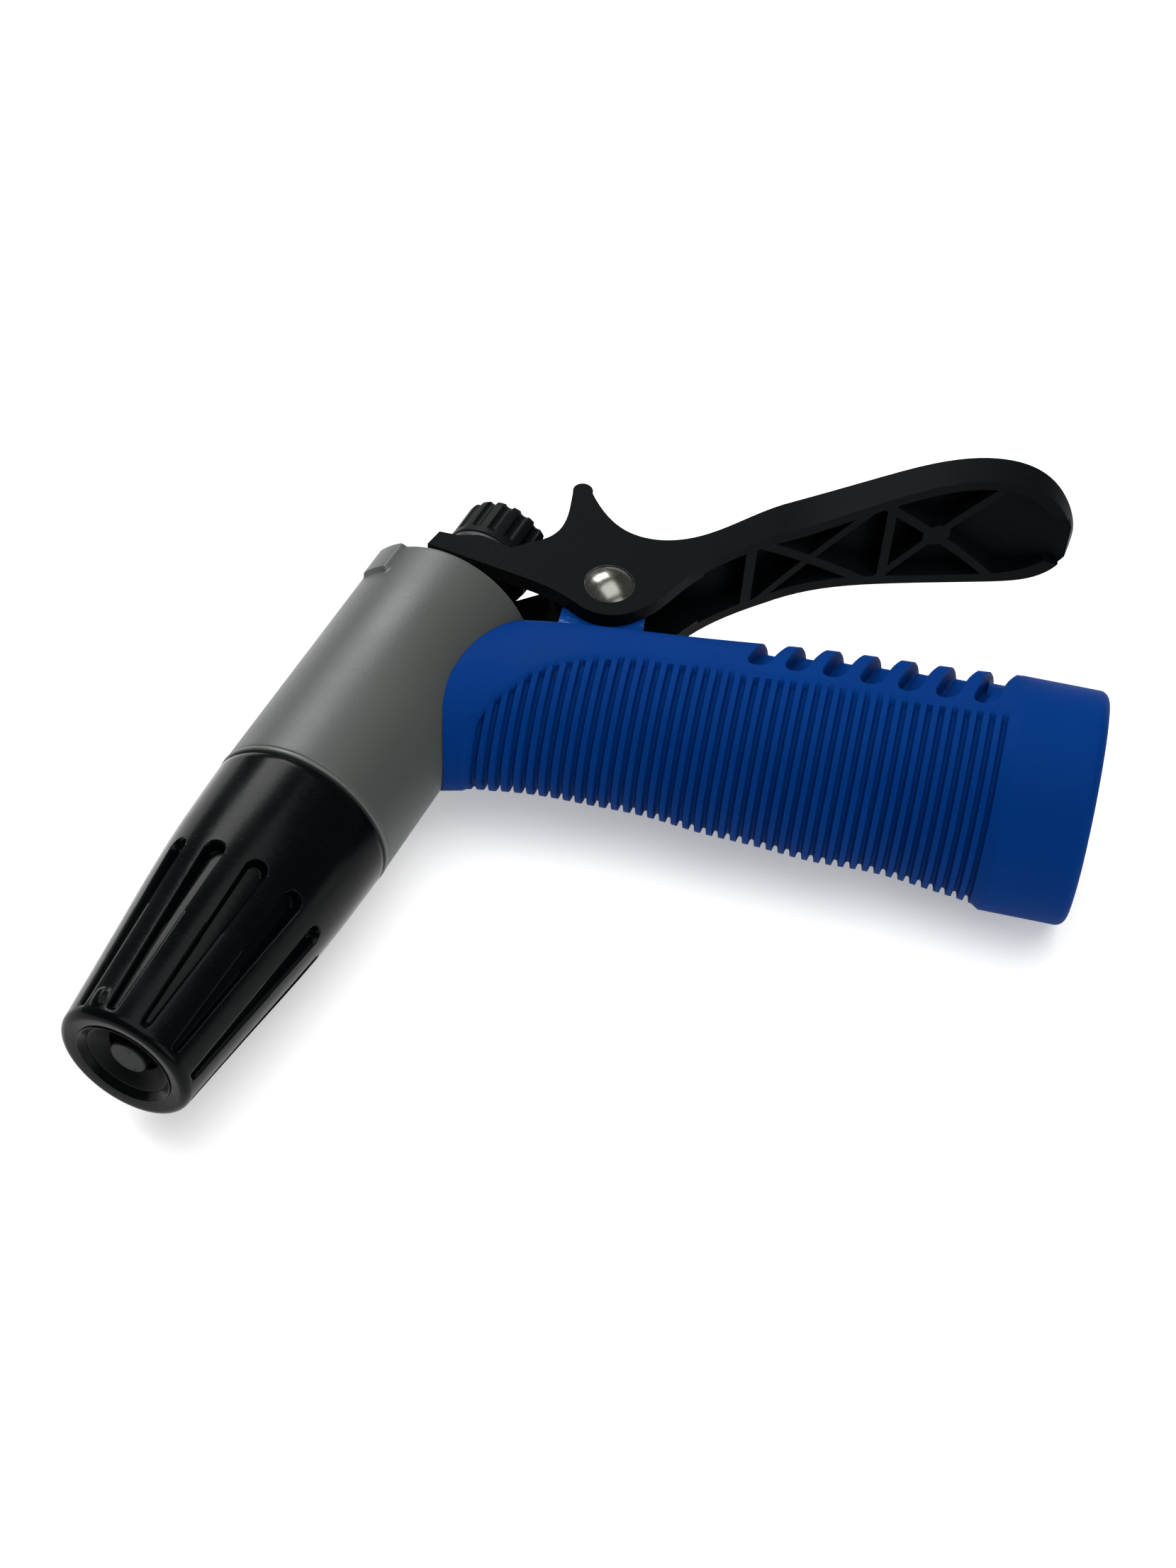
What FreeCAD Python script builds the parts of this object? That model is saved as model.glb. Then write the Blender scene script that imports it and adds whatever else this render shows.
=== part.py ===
import FreeCAD, Part
import math
import os

# Rear-trigger hose spray nozzle, in millimetres, lying on its side.
# The origin is the centre of the hose mouth, +X runs along the grip out of that mouth, +Z is parallel to
# the trigger's rivet, and the trigger is on the +Y side of the grip.  "Station" is a distance along the
# barrel from the grip's axis, positive towards the spray end, and "offset" is the distance across it.

V = FreeCAD.Vector

# Overall layout
GRIP_REACH = 108.3            # hose mouth to the barrel's axis
PISTOL_ANGLE = 105.0          # from the hose direction to the spray direction, degrees
SHROUD_FRONT = 32.6           # station of the shroud's front edge
SHROUD_REAR = -14.4           # station of the shroud's rear edge
NOZZLE_LENGTH = 50.6

# Fits between pieces
FIT = 0.05                    # radial fit between pieces of one body
RUNNING = 0.08                # radial clearance of a shaft in its bore
CLEAR = 0.3                   # gap between pieces that move apart

# Barrel
SHROUD_RADIUS = 14.7
SHROUD_WALL = 1.8
TRIM_WIDTH = 0.7
BARREL_BORE = 9.5
REAR_WALL = 9.0
SPIGOT_RADIUS = 10.8
SPIGOT_LENGTH = 17.5
SPIGOT_BORE = 7.2
O_RING_SECTION = 0.9
SEAT_HOLE = 5.6
SEAT_LENGTH = 3.2

# Stem, packing and knob
STEM_RADIUS = 2.0
STEM_SHOULDER = 3.4
PINTLE_RADIUS = 3.0
PINTLE_LENGTH = 5.5
PACKING_RADIUS = 3.8
NUT_AF = 8.8                 # across the packing nut's flats
NUT_HEAD = 4.0
KNOB_RADIUS = 7.6
KNOB_LENGTH = 8.2
KNOB_FLUTES = 16
FLUTE_RADIUS = 0.95
KNOB_INSERT_RADIUS = 3.6
WASHER_THICKNESS = 0.8

# Return spring
SPRING_RADIUS = 5.2
SPRING_WIRE = 0.9
SPRING_TURNS = 8

# Spray nozzle
NOZZLE_REAR_RADIUS = 14.7
NOZZLE_CROWN_RADIUS = 14.1
NOZZLE_MID_RADIUS = 12.6
NOZZLE_FRONT_RADIUS = 10.8
NOZZLE_EDGE = 1.4             # rounding of the front edge
RECESS_RADIUS = 7.8
RECESS_DEPTH = 1.2
ORIFICE_RADIUS = 8.0
ORIFICE_LENGTH = 12.0
THROAT_RADIUS = 4.0
SLOT_COUNT = 12
SLOT_WIDTH = 3.1
SLOT_TIP_WIDTH = 1.2
SLOT_DEPTH = 1.9
SLOT_LENGTH = 31.0
SLOT_PHASE = 12.5

# Grip: oval sections of the sleeve as (distance from the hose mouth, shift towards the trigger,
# half height, half width)
SLEEVE_SECTIONS = ((14.0, 0.5, 17.8, 17.6), (25.0, 0.6, 17.4, 16.9), (35.0, 0.5, 17.1, 16.3),
                   (45.0, 0.2, 16.8, 15.8), (55.0, 0.0, 16.0, 15.0), (65.0, -0.2, 15.2, 14.2),
                   (75.0, -0.4, 14.7, 13.4), (85.0, -1.2, 14.8, 12.6), (92.0, -2.1, 15.0, 11.7),
                   (99.0, -3.9, 15.2, 11.1))
CORE_RADIUS = 12.0
NECK_RADIUS = 10.0            # core between the grip and the barrel
NECK_LENGTH = 24.0            # measured from the barrel's axis
WATERWAY_RADIUS = 6.5
NOTCH_COUNT = 7
NOTCH_FIRST = 19.4            # hose mouth to the notch nearest to it
NOTCH_PITCH = 5.82
NOTCH_WIDTH = 3.2
NOTCH_FLOOR = 13.9            # radius of the floor about the grip's axis
NOTCH_END = 1.8               # height of the round ends above the axis, at the hose mouth
NOTCH_RISE = 0.033            # and how much higher they lie for each millimetre from it
NOTCH_LEAN = 13.0
NOTCH_COVER = 0.8             # rubber kept between a notch and the cup for the coupler
COLLAR_RADIUS = 18.5
COLLAR_LENGTH = 14.5
COLLAR_EDGE = 1.6

# Hose socket, for a 3/4-11.5 NH garden hose end
HOSE_BORE = 12.3              # minor radius of the female thread
HOSE_DEPTH = 13.0
COUPLER_WALL = 2.0
SOCKET_WALL = 1.4
HOSE_WASHER_THICKNESS = 2.6
HOSE_WASHER_BORE = 7.5
CUP_RADIUS = HOSE_BORE + COUPLER_WALL + FIT + SOCKET_WALL
CUP_DEPTH = COLLAR_LENGTH + 3.0

# Trigger lever, from its rivet
PIVOT_FROM_MOUTH = 80.2       # distance back from the hose mouth
PIVOT_HEIGHT = 20.1           # distance above the grip's axis
LEVER_SWEEP = 20.0            # full squeeze, degrees
FORK_HALF_WIDTH = 8.0
FORK_GAP = 5.3                # half of the gap between the prongs
CAM_RADIUS = 3.0
LEVER_WEB = 2.2
LEVER_WALL = 2.0
PADDLE_HALF_WIDTH = 12.1
PADDLE_END = 71.6             # rivet to the paddle's end
RIB_THICKNESS = 1.5
RIB_DEPTH = 3.4
RIVET_RADIUS = 2.4
RIVET_HEAD_RADIUS = 4.0
RIVET_HEAD_HEIGHT = 1.7
BUSH_WALL = 0.8
LUG_HALF_LENGTH = 6.6
LUG_TOP_RADIUS = 5.4

BARREL_ANGLE = math.radians(PISTOL_ANGLE)
SPRAY_DIRECTION = V(math.cos(BARREL_ANGLE), -math.sin(BARREL_ANGLE), 0)
ACROSS_BARREL = V(math.sin(BARREL_ANGLE), math.cos(BARREL_ANGLE), 0)
BARREL_ORIGIN = V(-GRIP_REACH, 0, 0)
PIVOT = V(-PIVOT_FROM_MOUTH, PIVOT_HEIGHT, 0)

CORE_BARREL_RADIUS = SHROUD_RADIUS - SHROUD_WALL - FIT
CORE_REAR = SHROUD_REAR + 0.8
BORE_REAR = CORE_REAR + REAR_WALL
TRIM_FRONT = SHROUD_FRONT + TRIM_WIDTH
NOZZLE_REAR = TRIM_FRONT + CLEAR
NOZZLE_FRONT = NOZZLE_REAR + NOZZLE_LENGTH
SPIGOT_FRONT = SHROUD_FRONT + SPIGOT_LENGTH
THROAT_FRONT = NOZZLE_FRONT - RECESS_DEPTH
SEAT_REAR = SHROUD_FRONT - SEAT_LENGTH
PIVOT_STATION = (PIVOT - BARREL_ORIGIN).dot(SPRAY_DIRECTION)
PIVOT_OFFSET = (PIVOT - BARREL_ORIGIN).dot(ACROSS_BARREL)
CAM_STATION = PIVOT_STATION + PIVOT_OFFSET * math.sin(math.radians(LEVER_SWEEP / 2))
WASHER_FRONT = CAM_STATION - CAM_RADIUS - CLEAR / 2
KNOB_FRONT = WASHER_FRONT - WASHER_THICKNESS
KNOB_REAR = KNOB_FRONT - KNOB_LENGTH
SEAL_FRONT = SEAT_REAR - CLEAR / 2
SEAL_REAR = SEAL_FRONT - 2.2
SPRING_FRONT = SEAL_REAR - 1.0
SPRING_REAR = BORE_REAR + 1.0


def export(shape, name):
    """Write one finished piece as its own STEP file."""
    clean = shape.removeSplitter()
    clean.exportStep("parts/" + name + ".step")
    return clean


def on_barrel(shape):
    """Move a shape made along Z at the origin so that Z is the spray direction, at the barrel."""
    frame = FreeCAD.Matrix(ACROSS_BARREL.x, 0, SPRAY_DIRECTION.x, BARREL_ORIGIN.x,
                           ACROSS_BARREL.y, 0, SPRAY_DIRECTION.y, BARREL_ORIGIN.y,
                           0, 1, 0, 0,
                           0, 0, 0, 1)
    shape.Placement = FreeCAD.Placement(frame).multiply(shape.Placement)
    return shape


def on_grip(shape):
    """Move a shape made along Z at the origin so that Z is +X, along the grip."""
    turn = FreeCAD.Placement(V(0, 0, 0), FreeCAD.Rotation(V(0, 1, 0), 90))
    shape.Placement = turn.multiply(shape.Placement)
    return shape


def barrel_point(station, offset):
    """Point in the mid-plane at a station along the barrel and an offset across it."""
    return BARREL_ORIGIN + SPRAY_DIRECTION * station + ACROSS_BARREL * offset


def polygon_face(points):
    return Part.Face(Part.makePolygon(points + [points[0]]))


def turned(profile):
    """Solid of revolution about Z from (radius, height) corners."""
    face = polygon_face([V(radius, 0, height) for radius, height in profile])
    return face.revolve(V(0, 0, 0), V(0, 0, 1), 360)


def ring(outer, inner, start, end):
    body = Part.makeCylinder(outer, end - start, V(0, 0, start))
    return body.cut(Part.makeCylinder(inner, end - start + 2, V(0, 0, start - 1)))


def spline(points):
    curve = Part.BSplineCurve()
    curve.interpolate(points)
    return curve.toShape()


def box_between(low, high):
    return Part.makeBox(high.x - low.x, high.y - low.y, high.z - low.z, low)


# ---- Body: core, shroud, sleeve and what is fixed in them ---------------------------------------------

def packing_bore():
    """Stepped hole in the rear wall for the packing, its washer and its nut."""
    return Part.makeCylinder(PACKING_RADIUS, REAR_WALL - 3.0 + 1, V(0, 0, CORE_REAR - 1))


def core_tube(clearance, end):
    """Outside of the grip's tube along Z: a narrow neck at the barrel, then the full tube."""
    neck = Part.makeCylinder(NECK_RADIUS + clearance, NECK_LENGTH + 1, V(0, 0, -GRIP_REACH))
    start = NECK_LENGTH - GRIP_REACH - clearance
    return neck.fuse(Part.makeCylinder(CORE_RADIUS + clearance, end - start, V(0, 0, start)))


def waterway():
    """Bore along the grip that joins the barrel's bore."""
    return on_grip(Part.makeCylinder(WATERWAY_RADIUS, GRIP_REACH, V(0, 0, -GRIP_REACH)))


def valve_body():
    """Moulded barrel with its spigot, rear wall and the port from the grip."""
    barrel = Part.makeCylinder(CORE_BARREL_RADIUS, SHROUD_FRONT - CORE_REAR, V(0, 0, CORE_REAR))
    spigot = Part.makeCylinder(SPIGOT_RADIUS, SPIGOT_LENGTH + 1, V(0, 0, SHROUD_FRONT - 1))
    groove = ring(SPIGOT_RADIUS + 1, SPIGOT_RADIUS - 2 * O_RING_SECTION, SPIGOT_FRONT - 4.0 - O_RING_SECTION,
                  SPIGOT_FRONT - 4.0 + O_RING_SECTION)
    bore = Part.makeCylinder(BARREL_BORE, SHROUD_FRONT - BORE_REAR, V(0, 0, BORE_REAR))
    bore = bore.fuse(Part.makeCylinder(SPIGOT_BORE, SPIGOT_LENGTH + 2, V(0, 0, SHROUD_FRONT - 1)))
    bore = bore.fuse(Part.makeCylinder(STEM_RADIUS + RUNNING, REAR_WALL + 2, V(0, 0, CORE_REAR - 1)))
    barrel = barrel.fuse(spigot).cut(groove).cut(bore.fuse(packing_bore()))
    return on_barrel(barrel).cut(waterway())


def grip_core():
    """Moulded tube of the grip, saddled on the barrel and welded to it, with the cup for the hose coupler."""
    cup = Part.makeCylinder(CUP_RADIUS, CUP_DEPTH - 1.0, V(0, 0, -CUP_DEPTH))
    tube = on_grip(core_tube(0.0, -COLLAR_LENGTH).fuse(cup))
    barrel_length = SHROUD_FRONT - CORE_REAR
    seat = on_barrel(Part.makeCylinder(CORE_BARREL_RADIUS + FIT, barrel_length, V(0, 0, CORE_REAR)))
    socket_depth = HOSE_DEPTH + HOSE_WASHER_THICKNESS
    socket = Part.makeCylinder(HOSE_BORE + COUPLER_WALL + FIT, socket_depth + 1, V(0, 0, -socket_depth))
    return largest(tube.cut(seat).cut(waterway()).cut(on_grip(socket)))


def hose_coupler():
    """Threaded insert that takes the hose end, with a lead-in at the mouth."""
    outer = HOSE_BORE + COUPLER_WALL
    profile = [(HOSE_BORE, -HOSE_DEPTH), (outer, -HOSE_DEPTH), (outer, 0.0),
               (HOSE_BORE + 0.9, 0.0), (HOSE_BORE, -0.9)]
    return on_grip(turned(profile))


def hose_washer():
    outer = HOSE_BORE + COUPLER_WALL - 0.3
    start = -HOSE_DEPTH - HOSE_WASHER_THICKNESS
    return on_grip(ring(outer, HOSE_WASHER_BORE, start, -HOSE_DEPTH))


def lug_block(clearance):
    """Upright ear between the trigger's cheeks, rounded about the rivet."""
    half = LUG_HALF_LENGTH + clearance
    height = PIVOT_HEIGHT - 7.0 + clearance
    foot = box_between(V(-half, -height, -FORK_GAP + CLEAR - clearance),
                       V(half, -3.0, FORK_GAP - CLEAR + clearance))
    crown_width = 2 * (FORK_GAP - CLEAR + clearance)
    crown = Part.makeCylinder(LUG_TOP_RADIUS + clearance, crown_width, V(0, 0, -crown_width / 2))
    flank = [V(-half, -3.01, 0), V(half, -3.01, 0), V(LUG_TOP_RADIUS + clearance, 0.5, 0),
             V(-LUG_TOP_RADIUS - clearance, 0.5, 0)]
    shoulder = polygon_face(flank).extrude(V(0, 0, crown_width))
    shoulder.translate(V(0, 0, -crown_width / 2))
    block = foot.fuse(crown).fuse(shoulder)
    block.translate(PIVOT)
    return block


def pivot_lug():
    bore = Part.makeCylinder(RIVET_RADIUS + BUSH_WALL + FIT, 4 * FORK_GAP,
                             PIVOT - V(0, 0, 2 * FORK_GAP))
    return lug_block(0.0).cut(bore).cut(on_grip(core_tube(FIT, 0.0)))


def pivot_bush():
    bush = ring(RIVET_RADIUS + BUSH_WALL, RIVET_RADIUS + RUNNING, -FORK_GAP + CLEAR, FORK_GAP - CLEAR)
    bush.translate(PIVOT)
    return bush


def notch(distance):
    """One leaning slot over the grip's crest, with a round end low on each flank."""
    half = NOTCH_WIDTH / 2
    reach = COLLAR_RADIUS + 2
    end = Part.makeCylinder(half, 2 * reach, V(0, 0, -reach))
    cutter = end.fuse(box_between(V(-half, 0, -reach), V(half, reach, reach)))
    cutter.rotate(V(0, 0, 0), V(0, 0, 1), -NOTCH_LEAN)
    cutter.translate(V(-distance, NOTCH_END + NOTCH_RISE * distance + half, 0))
    floor = Part.makeCylinder(NOTCH_FLOOR, GRIP_REACH, V(0, 0, -GRIP_REACH))
    covered = CUP_DEPTH + NOTCH_COVER
    cup_cover = Part.makeCylinder(CUP_RADIUS + NOTCH_COVER, covered, V(0, 0, -covered))
    return cutter.cut(on_grip(floor.fuse(cup_cover)))


def oval(distance, shift, half_height, half_width):
    """Closed section of the sleeve at a distance from the hose mouth."""
    centre = V(-distance, shift, 0)
    ellipse = Part.Ellipse(centre + V(0, half_height, 0), centre + V(0, 0, half_width), centre)
    return Part.Wire(ellipse.toShape())


def grip_sleeve():
    """Soft outer sleeve of the grip, saddled over the barrel, with a collar at the hose end."""
    neck_section = (GRIP_REACH + 2,) + SLEEVE_SECTIONS[-1][1:]
    sections = [oval(*section) for section in (neck_section,) + tuple(reversed(SLEEVE_SECTIONS))]
    hand = Part.makeLoft(sections, True, False)
    collar = Part.makeCylinder(COLLAR_RADIUS, COLLAR_LENGTH, V(0, 0, -COLLAR_LENGTH))
    collar = collar.makeFillet(COLLAR_EDGE, [edge for edge in collar.Edges if len(edge.Vertexes) == 1])
    sleeve = hand.fuse(on_grip(collar))
    room = core_tube(FIT, 1.0)
    room = room.fuse(Part.makeCylinder(CUP_RADIUS + FIT, CUP_DEPTH + 1, V(0, 0, -CUP_DEPTH)))
    sleeve = sleeve.cut(on_grip(room))
    saddle = Part.makeCylinder(SHROUD_RADIUS + CLEAR / 2, 100, V(0, 0, -50))
    sleeve = sleeve.cut(on_barrel(saddle)).cut(lug_block(FIT))
    sleeve = sleeve.common(box_between(V(-GRIP_REACH, -60, -60), V(1, 60, 60)))
    for index in range(NOTCH_COUNT):
        sleeve = sleeve.cut(notch(NOTCH_FIRST + index * NOTCH_PITCH))
    return largest(sleeve)


def largest(shape):
    """The biggest solid of a cut shape, without the offcuts."""
    return max(shape.Solids, key=lambda solid: solid.Volume)


def barrel_shroud():
    """Grey cover tube of the barrel, with a raised key at its rear end and an opening for the grip."""
    tube = Part.makeCylinder(SHROUD_RADIUS, SHROUD_FRONT - SHROUD_REAR, V(0, 0, SHROUD_REAR))
    key = box_between(V(SHROUD_RADIUS - 3.0, -3.0, SHROUD_REAR),
                      V(SHROUD_RADIUS + 0.8, 3.0, SHROUD_REAR + 6.5))
    key = key.makeFillet(0.7, [edge for edge in key.Edges if edge.BoundBox.XMin > SHROUD_RADIUS])
    key.rotate(V(0, 0, 0), V(0, 0, 1), 135)
    inner = Part.makeCylinder(SHROUD_RADIUS - SHROUD_WALL, 200, V(0, 0, -100))
    cover = on_barrel(tube.fuse(key).cut(inner))
    return largest(cover.cut(on_grip(core_tube(FIT, 0.0))))


def shroud_trim():
    return on_barrel(ring(SHROUD_RADIUS + 0.1, SPIGOT_RADIUS + FIT, SHROUD_FRONT, TRIM_FRONT))


def valve_seat():
    """Seat ring pressed into the front of the bore, with a raised lip for the seal."""
    base = BARREL_BORE - FIT
    profile = [(SEAT_HOLE, SEAT_REAR), (SEAT_HOLE + 0.8, SEAT_REAR), (SEAT_HOLE + 1.2, SEAT_REAR + 0.7),
               (base, SEAT_REAR + 0.7), (base, SHROUD_FRONT - 1.0), (SEAT_HOLE, SHROUD_FRONT - 1.0)]
    return on_barrel(turned(profile))


def spring_seat():
    return on_barrel(ring(BARREL_BORE - 0.6, STEM_RADIUS + 0.4, BORE_REAR, SPRING_REAR))


def stem_packing():
    start = CORE_REAR + REAR_WALL - 3.0
    return on_barrel(ring(PACKING_RADIUS - FIT, STEM_RADIUS + RUNNING, start - 2.4, start))


def packing_washer():
    start = CORE_REAR + REAR_WALL - 5.4
    return on_barrel(ring(PACKING_RADIUS - FIT, STEM_RADIUS + RUNNING, start - 0.6, start))


def packing_nut():
    """Hexagon nut that squeezes the packing; its sleeve goes into the rear wall."""
    reach = REAR_WALL - 6.0
    sleeve = Part.makeCylinder(PACKING_RADIUS - FIT, reach + 1, V(0, 0, CORE_REAR - 1))
    corner = NUT_AF / 2 / math.cos(math.radians(30))
    corners = [V(corner * math.cos(math.radians(60 * k)), corner * math.sin(math.radians(60 * k)), 0)
               for k in range(6)]
    head = polygon_face(corners).extrude(V(0, 0, NUT_HEAD))
    head.translate(V(0, 0, CORE_REAR - NUT_HEAD))
    chamfer = turned([(0, CORE_REAR - NUT_HEAD), (corner - 0.8, CORE_REAR - NUT_HEAD),
                      (corner + 0.2, CORE_REAR - NUT_HEAD + 1.0), (corner + 0.2, CORE_REAR), (0, CORE_REAR)])
    nut = head.common(chamfer).fuse(sleeve)
    bore = Part.makeCylinder(STEM_RADIUS + RUNNING, 40, V(0, 0, CORE_REAR - 20))
    return on_barrel(nut.cut(bore))


# ---- Stem and what rides on it ------------------------------------------------------------------------

def valve_stem():
    """Pull rod from the knob to the pintle, with a shoulder in front of the seal."""
    rod_front = NOZZLE_FRONT - PINTLE_LENGTH
    rod = Part.makeCylinder(STEM_RADIUS, rod_front - KNOB_REAR - 1.5, V(0, 0, KNOB_REAR + 1.5))
    shoulder = Part.makeCylinder(STEM_SHOULDER, 1.6, V(0, 0, SEAL_FRONT))
    neck = ring(STEM_RADIUS + 1, STEM_RADIUS - 0.5, SEAL_REAR - 1.9, SEAL_REAR - 1.1)
    return on_barrel(rod.fuse(shoulder).cut(neck))


def spray_pintle():
    """Tapered tip in the middle of the spray opening, screwed on the stem."""
    rear = NOZZLE_FRONT - PINTLE_LENGTH - 3.0
    front = NOZZLE_FRONT - 1.5
    profile = [(STEM_RADIUS + FIT, rear), (STEM_RADIUS + 0.9, rear), (PINTLE_RADIUS, front - 2.4),
               (PINTLE_RADIUS, front - 0.4), (PINTLE_RADIUS - 0.4, front), (0, front),
               (0, rear + 3.0 + FIT), (STEM_RADIUS + FIT, rear + 3.0 + FIT)]
    return on_barrel(turned(profile))


def poppet_seal():
    return on_barrel(ring(BARREL_BORE - 1.3, STEM_RADIUS + FIT, SEAL_REAR, SEAL_FRONT))


def poppet_washer():
    return on_barrel(ring(BARREL_BORE - 1.8, STEM_RADIUS + FIT, SPRING_FRONT, SEAL_REAR))


def poppet_clip():
    """Retaining clip in the stem's groove, behind the poppet's washer."""
    front = SEAL_REAR - 1.1
    clip = ring(STEM_RADIUS + 1.6, STEM_RADIUS - 0.5 + FIT, front - 0.8, front)
    gap = box_between(V(0, -1.2, front - 1), V(6, 1.2, front + 1))
    return on_barrel(clip.cut(gap))


def return_spring():
    """Compression spring with closed end turns, between the rear wall's seat and the poppet's washer."""
    low, high = SPRING_REAR + SPRING_WIRE / 2, SPRING_FRONT - SPRING_WIRE / 2
    end_rise = 1.4 * SPRING_WIRE
    rise = (high - low - 2 * end_rise) / (SPRING_TURNS - 2)
    points = []
    for step in range(12 * SPRING_TURNS + 1):
        turn = step / 12
        height = end_rise * min(turn, 1) + rise * min(max(turn - 1, 0), SPRING_TURNS - 2)
        height += end_rise * max(turn - SPRING_TURNS + 1, 0)
        angle = 2 * math.pi * turn
        points.append(V(SPRING_RADIUS * math.cos(angle), SPRING_RADIUS * math.sin(angle), low + height))
    coil = Part.BSplineCurve()
    coil.interpolate(points)
    wire = Part.Circle(points[0], coil.tangent(coil.FirstParameter)[0], SPRING_WIRE / 2).toShape()
    return on_barrel(Part.Wire([coil.toShape()]).makePipeShell([Part.Wire(wire)], True, True))


def thrust_washer():
    return on_barrel(ring(KNOB_RADIUS - 0.2, STEM_RADIUS + RUNNING, KNOB_FRONT, WASHER_FRONT))


def adjusting_knob():
    """Fluted knob, screwed along the stem to set how far the trigger opens the valve."""
    start = KNOB_REAR
    profile = [(KNOB_INSERT_RADIUS + FIT, start + 1.2), (KNOB_RADIUS - 2.6, start),
               (KNOB_RADIUS - 1.2, start), (KNOB_RADIUS - 0.4, start + 0.4), (KNOB_RADIUS, start + 1.3),
               (KNOB_RADIUS, KNOB_FRONT - 0.4), (KNOB_RADIUS - 0.4, KNOB_FRONT),
               (KNOB_INSERT_RADIUS + FIT, KNOB_FRONT)]
    knob = turned(profile)
    for index in range(KNOB_FLUTES):
        angle = 2 * math.pi * index / KNOB_FLUTES
        centre = V((KNOB_RADIUS + 0.35) * math.cos(angle), (KNOB_RADIUS + 0.35) * math.sin(angle), start - 1)
        knob = knob.cut(Part.makeCylinder(FLUTE_RADIUS, KNOB_LENGTH - 1.2, centre))
    return on_barrel(knob)


def knob_insert():
    return on_barrel(ring(KNOB_INSERT_RADIUS, STEM_RADIUS + RUNNING, KNOB_REAR + 1.2, KNOB_FRONT))


# ---- Spray nozzle -------------------------------------------------------------------------------------

def nozzle_outline():
    """Closed half section of the nozzle: crowned outside, stepped bore, shallow cone at the mouth."""
    front = NOZZLE_FRONT
    shoulder = spline([V(NOZZLE_REAR_RADIUS, 0, NOZZLE_REAR), V(NOZZLE_CROWN_RADIUS, 0, NOZZLE_REAR + 16.0),
                       V(NOZZLE_MID_RADIUS, 0, NOZZLE_REAR + 31.5),
                       V(NOZZLE_FRONT_RADIUS, 0, front - NOZZLE_EDGE)])
    edge = Part.Arc(V(NOZZLE_FRONT_RADIUS, 0, front - NOZZLE_EDGE),
                    V(NOZZLE_FRONT_RADIUS - 0.35 * NOZZLE_EDGE, 0, front - 0.3 * NOZZLE_EDGE),
                    V(NOZZLE_FRONT_RADIUS - NOZZLE_EDGE, 0, front)).toShape()
    bore = SPIGOT_RADIUS + RUNNING
    pocket = ORIFICE_RADIUS + FIT
    lip = THROAT_FRONT + FIT
    inside = Part.makePolygon([V(NOZZLE_FRONT_RADIUS - NOZZLE_EDGE, 0, front), V(RECESS_RADIUS, 0, front),
                               V(RECESS_RADIUS - 1.2, 0, lip), V(pocket, 0, lip),
                               V(pocket, 0, SPIGOT_FRONT + 2.5), V(bore, 0, SPIGOT_FRONT + 0.5),
                               V(bore, 0, NOZZLE_REAR), V(NOZZLE_REAR_RADIUS, 0, NOZZLE_REAR)])
    return Part.Face(Part.Wire([shoulder, edge] + inside.Edges))


def spray_orifice():
    """Round insert in the nozzle's mouth, with the throat that the pintle stands in."""
    rear = THROAT_FRONT - ORIFICE_LENGTH
    profile = [(ORIFICE_RADIUS, rear), (ORIFICE_RADIUS, THROAT_FRONT), (RECESS_RADIUS - 1.3, THROAT_FRONT),
               (THROAT_RADIUS + 0.8, THROAT_FRONT - 1.4), (THROAT_RADIUS, THROAT_FRONT - 2.0),
               (THROAT_RADIUS, rear + 5.0), (ORIFICE_RADIUS - 1.4, rear)]
    return on_barrel(turned(profile))


def nozzle_slot():
    """One finger slot: a wedge with a round rear end that runs out just behind the front edge."""
    rear = NOZZLE_FRONT - 1.6 - SLOT_LENGTH
    front = NOZZLE_FRONT - 1.6
    inner = NOZZLE_CROWN_RADIUS - SLOT_DEPTH
    fall = NOZZLE_MID_RADIUS - NOZZLE_FRONT_RADIUS
    floor = [V(inner, 0, rear - 2), V(inner - 0.2, 0, rear + 8), V(NOZZLE_FRONT_RADIUS - 0.2, 0, front + 1),
             V(NOZZLE_REAR_RADIUS + fall + 2, 0, front + 1), V(NOZZLE_REAR_RADIUS + fall + 2, 0, rear - 2)]
    wall = polygon_face([point - V(0, SLOT_WIDTH, 0) for point in floor]).extrude(V(0, 2 * SLOT_WIDTH, 0))
    half, tip = SLOT_WIDTH / 2, SLOT_TIP_WIDTH / 2
    plan = Part.Wire([Part.Arc(V(0, half, rear + half), V(0, 0, rear), V(0, -half, rear + half)).toShape(),
                      Part.makeLine(V(0, -half, rear + half), V(0, -tip, front)),
                      Part.makeLine(V(0, -tip, front), V(0, tip, front)),
                      Part.makeLine(V(0, tip, front), V(0, half, rear + half))])
    return Part.Face(plan).extrude(V(30, 0, 0)).common(wall)


def front_nozzle():
    """Black spray nozzle that screws along the spigot, with finger slots and an index pip."""
    nozzle = nozzle_outline().revolve(V(0, 0, 0), V(0, 0, 1), 360)
    for index in range(SLOT_COUNT):
        cutter = nozzle_slot()
        cutter.rotate(V(0, 0, 0), V(0, 0, 1), SLOT_PHASE + 360.0 * index / SLOT_COUNT)
        nozzle = nozzle.cut(cutter)
    pip = Part.makeSphere(1.3, V(NOZZLE_FRONT_RADIUS - 0.5, 0, NOZZLE_FRONT - 3.2))
    pip.rotate(V(0, 0, 0), V(0, 0, 1), SLOT_PHASE + 105.0)
    return on_barrel(nozzle.fuse(pip))


def nozzle_o_ring():
    """Seal between the spigot and the nozzle, in the spigot's groove."""
    centre = SPIGOT_RADIUS - O_RING_SECTION + RUNNING / 2
    seal = Part.makeTorus(centre, O_RING_SECTION - RUNNING / 4, V(0, 0, SPIGOT_FRONT - 4.0))
    return on_barrel(seal)


# ---- Trigger ------------------------------------------------------------------------------------------

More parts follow.
